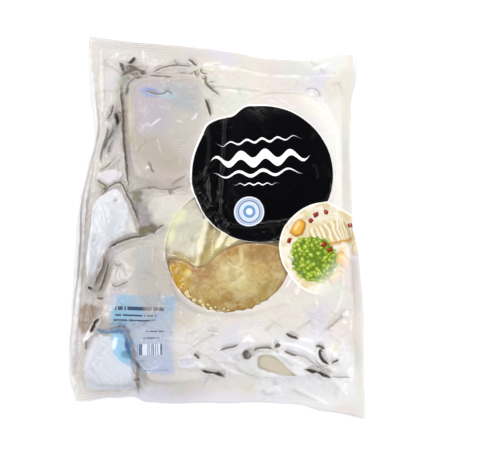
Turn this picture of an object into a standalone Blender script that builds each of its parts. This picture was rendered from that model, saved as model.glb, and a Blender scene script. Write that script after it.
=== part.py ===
"""A flat, sealed film bag of lutefisk, lying on its back with the printed front up.

The bag is one closed solid: the front film as it lies over the brine and the ten portions of fish
inside, the thin sealed margin round them, and the flat underside. Lengths are in millimetres until the mesh is made.
+X is to the right across the bag, +Y towards its top seal, +Z up out of its printed front. The origin
is on the resting surface, in the middle of the bag's outline.
"""

import math

import bmesh
import bpy
from mathutils import Vector
from mathutils.geometry import intersect_point_line

MM = 0.001

# The flat bag's four corners, seen from above.
TOP_LEFT = Vector((-122.5, 177.5))
TOP_RIGHT = Vector((127.0, 157.5))
BOTTOM_LEFT = Vector((-122.5, -162.0))
BOTTOM_RIGHT = Vector((128.5, -177.5))

# How far each edge stands out from the straight line between its corners, as (place along the line,
# distance). Places run left to right and bottom to top. A minus sign is an edge that is drawn in.
TOP_BULGE = [(0, 0), (0.2, -1.2), (0.45, -2.4), (0.55, -4.2), (0.67, -8.2), (0.8, -7.5), (0.92, -3), (1, 0)]
BOTTOM_BULGE = [(0, 0), (0.12, -4.9), (0.21, -7), (0.24, -3), (0.32, -2.9), (0.49, -6.4), (0.64, -8.8),
                (0.78, -9.3), (0.86, -5), (0.95, -3.4), (1, 0)]
LEFT_BULGE = [(0, 0), (0.08, 6.8), (0.14, 7.4), (0.23, 5.7), (0.34, 5.2), (0.46, 4.9), (0.53, 2.2),
              (0.62, -3.1), (0.7, -8.7), (0.76, -7.1), (0.83, -3.5), (0.9, -1.2), (1, 0)]
RIGHT_BULGE = [(0, 0), (0.18, 1.5), (0.31, 1.9), (0.41, 0.4), (0.54, -5.4), (0.7, -4.9), (0.85, -3.4),
               (0.94, 1.7), (1, 0)]

# The sealed margin: two films welded together, lying just clear of the resting surface.
MARGIN_THICKNESS = 0.8
SEAL_LEFT = 8.0
SEAL_RIGHT = 9.0
SEAL_TOP = 15.0
SEAL_BOTTOM = 11.0
CORNER_LIFTS = [(TOP_LEFT, 2.2), (TOP_RIGHT, 4.5), (BOTTOM_LEFT, 1.8), (BOTTOM_RIGHT, 3.6)]
CORNER_REACH = 46.0  # how far from its corner a lifted corner meets the resting surface again
RUFFLE_HEIGHT = 0.9
RUFFLE_WAVES = 11  # soft waves round the whole margin

# The underside, from its edge inwards: the margin's lower face, then the slope to the flat base.
UNDERSIDE_INSETS = [0.035, 0.075]
UNDERSIDE_HEIGHTS = [0.45, 0.0]

# The portions of fish: thickness, then the outline seen from above.
PORTIONS = {
    "loin_top_left": (20, [(-84, 131), (-60, 132), (-38, 131), (-20, 132), (-12, 118), (-7, 95), (-3, 60),
                           (-8, 32), (-42, 29), (-75, 29), (-79, 48), (-82, 75), (-83, 103)]),
    "block_left": (17, [(-113, 15), (-98, 25), (-89, 29), (-84, 23), (-74, 4), (-68, -17), (-83, -20), (-94, -26),
                        (-101, -31), (-102, -43), (-108, -58), (-117, -58), (-117, -33), (-113, -8)]),
    "strip_middle": (18, [(-62, 19), (-44, 23), (-14, 24), (-8, 10), (-12, -10), (-42, -12), (-55, -14), (-62, -8),
                          (-66, 4)]),
    "block_centre_left": (19, [(-93, -35), (-82, -27), (-70, -24), (-56, -22), (-49, -26), (-47, -45), (-43, -66),
                               (-47, -90), (-62, -98), (-97, -97), (-103, -90), (-100, -75), (-95, -51)]),
    "tail_bottom_left": (15, [(-102, -104), (-78, -104), (-73, -113), (-71, -130), (-71, -149), (-106, -150),
                              (-116, -138), (-113, -120)]),
    "flap_bottom": (15, [(-66, -104), (-48, -102), (-10, -106), (0, -113), (2, -130), (-8, -146), (-60, -149),
                         (-64, -130)]),
    "loin_window": (20, [(-47, -36), (-31, -36), (-17, -45), (-8, -41), (3, -29), (21, -22), (42, -20), (70, -30),
                         (80, -55), (70, -78), (45, -88), (15, -93), (-12, -90), (-32, -80), (-43, -62)]),
    "loin_top_right": (19, [(4, 106), (40, 118), (74, 121), (106, 106), (109, 60), (109, 14), (74, -10),
                            (40, -14), (10, -16), (0, 0), (-1, 14), (2, 58)]),
    "block_right": (17, [(86, 0), (112, 4), (116, -36), (115, -76), (103, -94), (80, -94), (84, -75), (87, -50)]),
    "tail_bottom_right": (16, [(26, -101), (52, -97), (80, -99), (112, -102), (117, -128), (95, -138), (81, -142),
                               (38, -144), (24, -131), (20, -115)]),
}
SHOULDER_INSIDE = 7.0  # how far in from a portion's outline the film reaches its full height
SHOULDER_OUTSIDE = 7.0  # how far out from the outline the stretched film comes down
CROWN = 0.14  # how much a portion's middle stands above its rim, as a share of its thickness
CROWN_REACH = 30.0  # how far in from a portion's outline its top still rises

# The brine fills the gaps between the portions and holds the film up there.
BRINE_LEVEL = 12.6
BRINE_RIGHT = 3.0  # how much higher it stands under the flat right half
BRINE_RIGHT_FROM = -40.0
BRINE_RIGHT_TO = 10.0
BRINE_REACH = 34.0  # from the seals in to where the brine has its full depth
BLENDING = 6.0  # a lower power rounds the film more where portions and brine meet
MARGIN_SLOPE = 17.0  # the film's way up from the inner edge of the seal

ACROSS = 54  # faces across the front
ALONG = 72  # faces along it


def clear_scene():
    for item in list(bpy.data.objects):
        bpy.data.objects.remove(item, do_unlink=True)


def smooth_step(x):
    x = min(max(x, 0.0), 1.0)
    return x * x * (3 - 2 * x)


def bulge_at(stations, place):
    """The edge's bulge at a place along it, eased from one station to the next."""
    for (start, first), (end, last) in zip(stations, stations[1:]):
        if place <= end:
            return first + (last - first) * smooth_step((place - start) / (end - start))
    return stations[-1][1]


def outline_point(u, v):
    """The place of (u, v) on the bag, where u runs across and v along from 0 to 1: a patch that
    follows all four edges."""
    bottom = BOTTOM_LEFT.lerp(BOTTOM_RIGHT, u) + Vector((0, -bulge_at(BOTTOM_BULGE, u)))
    top = TOP_LEFT.lerp(TOP_RIGHT, u) + Vector((0, bulge_at(TOP_BULGE, u)))
    left = BOTTOM_LEFT.lerp(TOP_LEFT, v) + Vector((-bulge_at(LEFT_BULGE, v), 0))
    right = BOTTOM_RIGHT.lerp(TOP_RIGHT, v) + Vector((bulge_at(RIGHT_BULGE, v), 0))
    corners = BOTTOM_LEFT.lerp(BOTTOM_RIGHT, u).lerp(TOP_LEFT.lerp(TOP_RIGHT, u), v)
    return bottom.lerp(top, v) + left.lerp(right, u) - corners


def distance_inside(point, outline):
    """How far a point lies inside an outline, or outside it with a minus sign."""
    nearest = math.inf
    inside = False
    for a, b in zip(outline, outline[1:] + outline[:1]):
        foot, share = intersect_point_line(point, a, b)
        foot = a if share < 0 else b if share > 1 else foot.to_2d()
        nearest = min(nearest, (point - foot).length)
        if (a.y > point.y) != (b.y > point.y):
            if point.x < a.x + (b.x - a.x) * (point.y - a.y) / (b.y - a.y):
                inside = not inside
    return nearest if inside else -nearest


def film_over_contents(point, past_seal, portions):
    """How far the portions and the brine push the film up at a point."""
    right = smooth_step((point.x - BRINE_RIGHT_FROM) / (BRINE_RIGHT_TO - BRINE_RIGHT_FROM))
    brine = (BRINE_LEVEL + BRINE_RIGHT * right) * smooth_step(past_seal / BRINE_REACH)
    total = brine ** BLENDING
    for thickness, outline in portions:
        depth = distance_inside(point, outline)
        rise = smooth_step((depth + SHOULDER_OUTSIDE) / (SHOULDER_OUTSIDE + SHOULDER_INSIDE))
        crown = 1 - CROWN * (1 - smooth_step(depth / CROWN_REACH))
        total += (thickness * rise * crown) ** BLENDING
    return total ** (1 / BLENDING)


def margin_height(u, v):
    """The height of the margin's lower face: soft ruffles along the edges, and lifted corners."""
    point = outline_point(u, v)
    around = math.atan2(2 * v - 1, 2 * u - 1)
    ruffle = RUFFLE_HEIGHT * (1 + math.sin(RUFFLE_WAVES * around)) / 2
    lift = 0.0
    for corner, height in CORNER_LIFTS:
        lift += height * smooth_step(1 - (point - corner).length / CORNER_REACH) ** 2
    return UNDERSIDE_HEIGHTS[0] + ruffle + lift


def past_the_seal(u, v):
    """How far a place lies inside the inner edge of the nearest seal."""
    width = BOTTOM_RIGHT.x - BOTTOM_LEFT.x
    length = TOP_LEFT.y - BOTTOM_LEFT.y
    return min(u * width - SEAL_LEFT, (1 - u) * width - SEAL_RIGHT,
               v * length - SEAL_BOTTOM, (1 - v) * length - SEAL_TOP)


def front_height(u, v, portions):
    """The height of the front film: the margin's upper face, then up over the contents."""
    margin = margin_height(u, v) + MARGIN_THICKNESS
    past_seal = past_the_seal(u, v)
    open_share = smooth_step(past_seal / MARGIN_SLOPE)
    return margin + film_over_contents(outline_point(u, v), past_seal, portions) * open_share


def rim_edges(bm):
    return [edge for edge in bm.edges if edge.is_boundary]


def add_ring(bm, ring_layer, ring, inset):
    """Carries the open rim on to a further ring, drawn in by a share of the bag's size."""
    made = bmesh.ops.extrude_edge_only(bm, edges=rim_edges(bm))["geom"]
    for vert in made:
        if isinstance(vert, bmesh.types.BMVert):
            vert[ring_layer] = ring
            vert.co.x *= 1 - 2 * inset
            vert.co.y *= 1 - 2 * inset


def make_bag_mesh():
    """The whole bag, first as a square sheet with its underside, then laid out at full size."""
    portions = [(thickness, [Vector(p) for p in outline]) for thickness, outline in PORTIONS.values()]
    bm = bmesh.new()
    ring_layer = bm.verts.layers.int.new("ring")
    bmesh.ops.create_grid(bm, x_segments=ACROSS, y_segments=ALONG, size=1.0)
    add_ring(bm, ring_layer, 1, 0.0)
    for ring, inset in enumerate(UNDERSIDE_INSETS, start=2):
        last = UNDERSIDE_INSETS[ring - 3] if ring > 2 else 0.0
        add_ring(bm, ring_layer, ring, (inset - last) / (1 - 2 * last))
    bmesh.ops.contextual_create(bm, geom=rim_edges(bm))

    for vert in bm.verts:
        u = (vert.co.x + 1) / 2
        v = (vert.co.y + 1) / 2
        place = outline_point(u, v)
        ring = vert[ring_layer]
        if ring == 0:
            height = front_height(u, v, portions)
        elif ring == 1:
            height = margin_height(u, v)
        else:
            height = UNDERSIDE_HEIGHTS[ring - 2]
        vert.co = Vector((place.x, place.y, height)) * MM
    bmesh.ops.recalc_face_normals(bm, faces=bm.faces)

    mesh = bpy.data.meshes.new("bag")
    bm.to_mesh(mesh)
    bm.free()
    mesh.shade_smooth()
    return mesh


def film_material():
    """Milky white polythene and nylon laminate with a soft gloss."""
    material = bpy.data.materials.new("milky_film")
    material.use_nodes = True
    shader = material.node_tree.nodes["Principled BSDF"]
    shader.inputs["Base Color"].default_value = (0.80, 0.76, 0.72, 1)
    shader.inputs["Roughness"].default_value = 0.28
    shader.inputs["Metallic"].default_value = 0.0
    return material


def build():
    clear_scene()
    collection = bpy.data.collections.new("lutefisk_bag")
    bpy.context.scene.collection.children.link(collection)
    bag = bpy.data.objects.new("bag", make_bag_mesh())
    bag.data.materials.append(film_material())
    collection.objects.link(bag)


build()
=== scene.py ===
import math

import bmesh
import bpy
import numpy as np
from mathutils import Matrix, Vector, noise


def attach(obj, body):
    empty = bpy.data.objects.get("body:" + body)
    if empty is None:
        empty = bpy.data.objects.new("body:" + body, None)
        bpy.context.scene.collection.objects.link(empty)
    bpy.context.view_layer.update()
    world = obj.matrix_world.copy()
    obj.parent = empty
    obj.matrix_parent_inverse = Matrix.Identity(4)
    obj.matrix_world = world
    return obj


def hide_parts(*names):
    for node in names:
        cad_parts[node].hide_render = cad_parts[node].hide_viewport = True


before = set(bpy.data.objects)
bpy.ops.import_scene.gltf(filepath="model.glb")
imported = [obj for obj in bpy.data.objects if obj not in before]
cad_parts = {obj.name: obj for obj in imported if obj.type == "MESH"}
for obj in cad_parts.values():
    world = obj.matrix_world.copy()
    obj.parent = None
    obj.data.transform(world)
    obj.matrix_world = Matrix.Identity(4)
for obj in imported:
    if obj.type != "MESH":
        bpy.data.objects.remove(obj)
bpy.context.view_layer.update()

# A flat, sealed bag of lutefisk that lies with its printed front up: film, fish, brine and seals.
# Plan places and sizes are in millimetres, as in the frame: +X right, +Y to the top seal, +Z up.

mm = 0.001


def linear(hexText):
    # sRGB hex to the linear colour that a shader takes
    parts = [int(hexText[i:i + 2], 16) / 255 for i in (1, 3, 5)]
    return tuple(p / 12.92 if p <= 0.04045 else ((p + 0.055) / 1.055) ** 2.4 for p in parts) + (1.0,)


def addNode(tree, kind, inputs=None, **settings):
    # an input is a value, a socket, or a node, whose first output in use is taken
    made = tree.nodes.new(kind)
    for name, value in settings.items():
        setattr(made, name, value)
    for socket, value in (inputs or {}).items():
        if isinstance(value, bpy.types.Node):
            value = next(output for output in value.outputs if output.enabled)
        if isinstance(value, bpy.types.NodeSocket):
            tree.links.new(value, made.inputs[socket])
        else:
            made.inputs[socket].default_value = value
    return made


def ease(x):
    x = np.clip(x, 0.0, 1.0)
    return x * x * (3 - 2 * x)


def newMaterial(name, values):
    # (material, its tree, its shader), with these values on the shader's own sockets
    made = bpy.data.materials.new(name)
    made.use_nodes = True
    shader = made.node_tree.nodes["Principled BSDF"]
    for socket, value in values.items():
        shader.inputs[socket].default_value = value
    return made, made.node_tree, shader


def newObject(name, data):
    made = bpy.data.objects.new(name, data)
    bpy.context.scene.collection.objects.link(made)
    return made


def newMesh(name, points, edges, faces):
    # points in millimetres
    mesh = bpy.data.meshes.new(name)
    mesh.from_pydata((np.asarray(points) * mm).tolist(), edges, faces)
    return mesh


def gridFaces(index):
    # faces of a grid, from the numbers of its points
    return np.stack([index[:-1, :-1], index[:-1, 1:], index[1:, 1:], index[1:, :-1]], -1).reshape(-1, 4)


def keepOnPoints(mesh, name, kind, values):
    # a number or a colour at each point, for the materials
    kept = mesh.attributes.new(name, kind, "POINT")
    kept.data.foreach_set("color" if kind == "FLOAT_COLOR" else "value", values.astype(np.float32).ravel())


def addPiece(name, mesh):
    piece = newObject(name, mesh)
    mesh.shade_smooth()
    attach(piece, "root")
    return piece


# outline of the flat sheet

sheet = {
    "topLeft": (-122.5, 177.5),
    "topRight": (127.0, 157.5),
    "bottomLeft": (-122.5, -162.0),
    "bottomRight": (128.5, -177.5),
    # how far each edge stands out: (place along it, distance)
    "topBulge": [(0, 0), (0.2, -1.2), (0.45, -2.4), (0.55, -4.2), (0.67, -8.2), (0.8, -7.5), (0.92, -3),
                 (1, 0)],
    "bottomBulge": [(0, 0), (0.12, -4.9), (0.21, -7), (0.24, -3), (0.32, -2.9), (0.49, -6.4), (0.64, -8.8),
                    (0.78, -9.3), (0.86, -5), (0.95, -3.4), (1, 0)],
    "leftBulge": [(0, 0), (0.08, 6.8), (0.14, 7.4), (0.23, 5.7), (0.34, 5.2), (0.46, 4.9), (0.53, 2.2),
                  (0.62, -3.1), (0.7, -8.7), (0.76, -7.1), (0.83, -3.5), (0.9, -1.2), (1, 0)],
    "rightBulge": [(0, 0), (0.18, 1.5), (0.31, 1.9), (0.41, 0.4), (0.54, -5.4), (0.7, -4.9), (0.85, -3.4),
                   (0.94, 1.7), (1, 0)],
    "columns": [(0.0, 0.0), (0.26, 0.37), (0.52, 0.63), (1.0, 1.0)],  # (share across, share of the columns)
    "rows": [(0.0, 0.0), (0.25, 0.28), (0.72, 0.68), (1.0, 1.0)],  # closer where the film is creased
    "across": 248,  # faces, about 0.7 mm at the left and 1.2 mm at the right
    "along": 356,
    "easing": 20,  # grid lines over which one spacing turns into the next
    "sealLeft": 8.0,
    "sealRight": 9.0,
    "sealTop": 15.0,
    "sealBottom": 11.0,
    "weldThick": 0.7,
}


def bulgeAt(stations, place):
    places, sizes = (np.array(row, float) for row in zip(*stations))
    index = np.clip(np.searchsorted(places, place, side="right") - 1, 0, len(places) - 2)
    share = (place - places[index]) / (places[index + 1] - places[index])
    return sizes[index] + (sizes[index + 1] - sizes[index]) * ease(share)


def layOut(u, v):
    # a place (u, v) of the unit square on the bag, following all four edges
    corner = {k: np.array(sheet[k]) for k in ("topLeft", "topRight", "bottomLeft", "bottomRight")}
    u, v = u[..., None], v[..., None]
    low = corner["bottomLeft"] * (1 - u) + corner["bottomRight"] * u
    high = corner["topLeft"] * (1 - u) + corner["topRight"] * u
    place = low * (1 - v) + high * v
    place[..., 1] -= (bulgeAt(sheet["bottomBulge"], u) * (1 - v))[..., 0]
    place[..., 1] += (bulgeAt(sheet["topBulge"], u) * v)[..., 0]
    place[..., 0] -= (bulgeAt(sheet["leftBulge"], v) * (1 - u))[..., 0]
    place[..., 0] += (bulgeAt(sheet["rightBulge"], v) * u)[..., 0]
    return place[..., 0], place[..., 1]


def spread(stations, faces):
    # places of the grid's lines from 0 to 1, eased between the stations' spacings
    places, shares = zip(*sheet[stations])
    count = sheet[faces]
    straight = np.interp(np.linspace(0, 1, count + 1), shares, places)
    lines = 2 * sheet["easing"] + 1
    padded = np.pad(np.diff(straight), sheet["easing"], mode="edge")
    steps = np.convolve(padded, np.ones(lines) / lines, mode="valid")
    return np.concatenate([[0.0], np.cumsum(steps)]) / steps.sum()


def pastSeal(u, v):
    # how far inside the inner edge of the nearest seal
    width = sheet["bottomRight"][0] - sheet["bottomLeft"][0]
    length = sheet["topLeft"][1] - sheet["bottomLeft"][1]
    sides = [u * width - sheet["sealLeft"], (1 - u) * width - sheet["sealRight"],
             v * length - sheet["sealBottom"], (1 - v) * length - sheet["sealTop"]]
    return np.minimum.reduce(sides)


def roundOff(outline, turns=2):
    # cuts every corner off, a quarter of the way along its sides
    points = np.array(outline, float)
    for _ in range(turns):
        after = np.roll(points, -1, axis=0)
        points = np.stack([points * 0.75 + after * 0.25, points * 0.25 + after * 0.75], 1).reshape(-1, 2)
    return points


def insideBy(x, y, outline):
    # how far inside a closed outline, minus outside
    nearest = np.full(x.shape, 1e9)
    inside = np.zeros(x.shape, bool)
    for a, b in zip(outline, np.roll(outline, -1, axis=0)):
        step = b - a
        share = np.clip(((x - a[0]) * step[0] + (y - a[1]) * step[1]) / step.dot(step), 0, 1)
        nearest = np.minimum(nearest, np.hypot(x - a[0] - share * step[0], y - a[1] - share * step[1]))
        crossing = (a[1] > y) != (b[1] > y)
        if step[1]:
            inside ^= crossing & (x < a[0] + step[0] * (y - a[1]) / step[1])
    return np.where(inside, nearest, -nearest)


# fish: ten portions, each (thickness, look, way its flakes run in degrees, tint of its flesh, outline)

portions = {
    "loinTopLeft": (20, "pale", 80, "#bcb2b1", [(-84, 131), (-60, 132), (-38, 131), (-20, 132), (-12, 118),
        (-7, 95), (-3, 60), (-8, 32), (-42, 29), (-75, 29), (-79, 48), (-82, 75), (-83, 103)]),
    "blockLeft": (17, "pale", 70, "#dcdce1", [(-113, 15), (-98, 25), (-89, 29), (-84, 23), (-74, 4),
        (-70, -12), (-68, -17), (-83, -20), (-94, -26), (-101, -31), (-102, -43), (-108, -58), (-117, -58),
        (-117, -33), (-113, -8)]),
    "stripMiddle": (18, "pale", 10, "#cbc5b5", [(-62, 19), (-44, 23), (-14, 24), (-8, 10), (-12, -10),
        (-42, -12), (-55, -14), (-62, -8), (-66, 4)]),
    "blockCentreLeft": (19, "pale", 95, "#c5c0bd", [(-93, -35), (-82, -27), (-70, -24), (-56, -22),
        (-49, -26), (-47, -45), (-43, -66), (-47, -90), (-62, -98), (-80, -98), (-97, -97), (-103, -90),
        (-100, -75), (-100, -66), (-95, -51)]),
    "tailBottomLeft": (15, "pale", 75, "#d2d7e2", [(-102, -104), (-78, -104), (-73, -113), (-71, -130),
        (-71, -149), (-106, -150), (-116, -138), (-113, -120)]),
    "flapBottom": (15, "pale", 5, "#d1cdd0", [(-66, -104), (-48, -102), (-10, -106), (0, -113), (2, -130),
        (-8, -146), (-60, -149), (-64, -130)]),
    "loinWindow": (20, "golden", 12, "#c2a96d", [(-47, -36), (-31, -36), (-17, -45), (-8, -41), (3, -29),
        (21, -22), (42, -20), (70, -30), (80, -55), (70, -78), (45, -88), (15, -93), (-12, -90), (-32, -80),
        (-43, -62)]),
    "loinTopRight": (19, "golden", 85, "#ddd1bf", [(4, 106), (40, 118), (74, 121), (106, 106), (109, 60),
        (109, 14), (74, -10), (40, -14), (10, -16), (0, 0), (-1, 14), (2, 58)]),
    "blockRight": (17, "pale", 85, "#dfd2b6", [(86, 0), (112, 4), (116, -36), (115, -76), (103, -94),
        (80, -94), (84, -75), (87, -50)]),
    "tailBottomRight": (16, "pale", 0, "#d6d3ce", [(26, -101), (52, -97), (80, -99), (112, -102),
        (117, -128), (95, -138), (81, -142), (38, -144), (24, -131), (20, -115)]),
}
fishForm = {
    "shoulder": 6.0,  # how far in the rounded edge reaches
    "roundness": 2.3,
    "crown": 0.14,
    "crownReach": 30.0,
    "restsAt": 0.9,
    "flakeSpacing": 8.5,
    "flakeDepth": 0.3,
    "flakeBow": 0.012,  # how much the flakes bend across the portion
    "flakeStray": (2.5, 22.0),  # mm, how far they stray, and over what length
    "flakeEdge": 0.35,  # the smaller, the narrower the grooves between them
    "unevenness": [(0.1, 5.0, 3), (0.5, 17.0, 5)],  # (height, size, seed)
    "underRings": 10,
    "underReach": (0.96, 0.1),  # first and last of them, as shares of the way out
    "crowding": 1.6,  # how much the rings on top crowd towards the edge
    "thinnest": 0.6,
    "foot": 0.8,  # height of the edge over the underside
    "stainEdge": (0.25, 8.0),  # raggedness of the stains: (strength, size)
    "thinRim": 4.0,  # the see-through, darker rim of the flesh
    "around": 200,
    "ringsOnTop": 44,
}


def portionTop(x, y, thickness, outline):
    # height of a portion's smooth top over its own underside
    depth = insideBy(x, y, outline)
    edge = np.clip(depth / fishForm["shoulder"], 0, 1)
    power = fishForm["roundness"]
    rise = (1 - (1 - edge) ** power) ** (1 / power)
    crown = 1 - fishForm["crown"] * (1 - ease(depth / fishForm["crownReach"]))
    return thickness * rise * crown


# front film: laid over the fish, then creased

drape = {
    "clearance": 0.45,  # film over fish
    "dip": 0.3,  # how far a fold may reach below that
    "lowest": 0.45,  # of the back film's edge
    "brineLevel": 12.6,  # brine fills the gaps up to here, and holds the film up
    "brineRight": 3.0,  # deeper under the flat right half
    "rightFrom": (-40.0, 50.0),  # where that begins, and over how far
    "brineReach": 34.0,  # from the seals in to where the brine has its full depth
    "pull": 0.012,  # how hard the film is drawn down into the gaps, per step of the relaxing
    "steps": 420,
    "ruffle": 0.9,
    "ruffleWaves": 11,
    "cornerLifts": [("topLeft", 2.2), ("topRight", 4.5), ("bottomLeft", 1.8), ("bottomRight", 3.6)],
    "cornerReach": 46.0,
}


def marginHeight(u, v, x, y):
    around = np.arctan2(2 * v - 1, 2 * u - 1)
    height = drape["lowest"] + drape["ruffle"] * (1 + np.sin(drape["ruffleWaves"] * around)) / 2
    for corner, lift in drape["cornerLifts"]:
        away = np.hypot(x - sheet[corner][0], y - sheet[corner][1])
        height += lift * ease(1 - away / drape["cornerReach"]) ** 2
    return height


def brineHeight(x, past):
    start, reach = drape["rightFrom"]
    deep = drape["brineLevel"] + drape["brineRight"] * ease((x - start) / reach)
    return deep * ease(past / drape["brineReach"])


def filmOverFish(x, y):
    # how high the fish holds up the film, 0 beside it
    top = np.zeros_like(x)
    for thickness, look, way, tint, outline in portions.values():
        top = np.maximum(top, portionTop(x, y, thickness, roundOff(outline)))
    return np.where(top > 0, top + fishForm["restsAt"] + drape["clearance"], 0)


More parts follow.
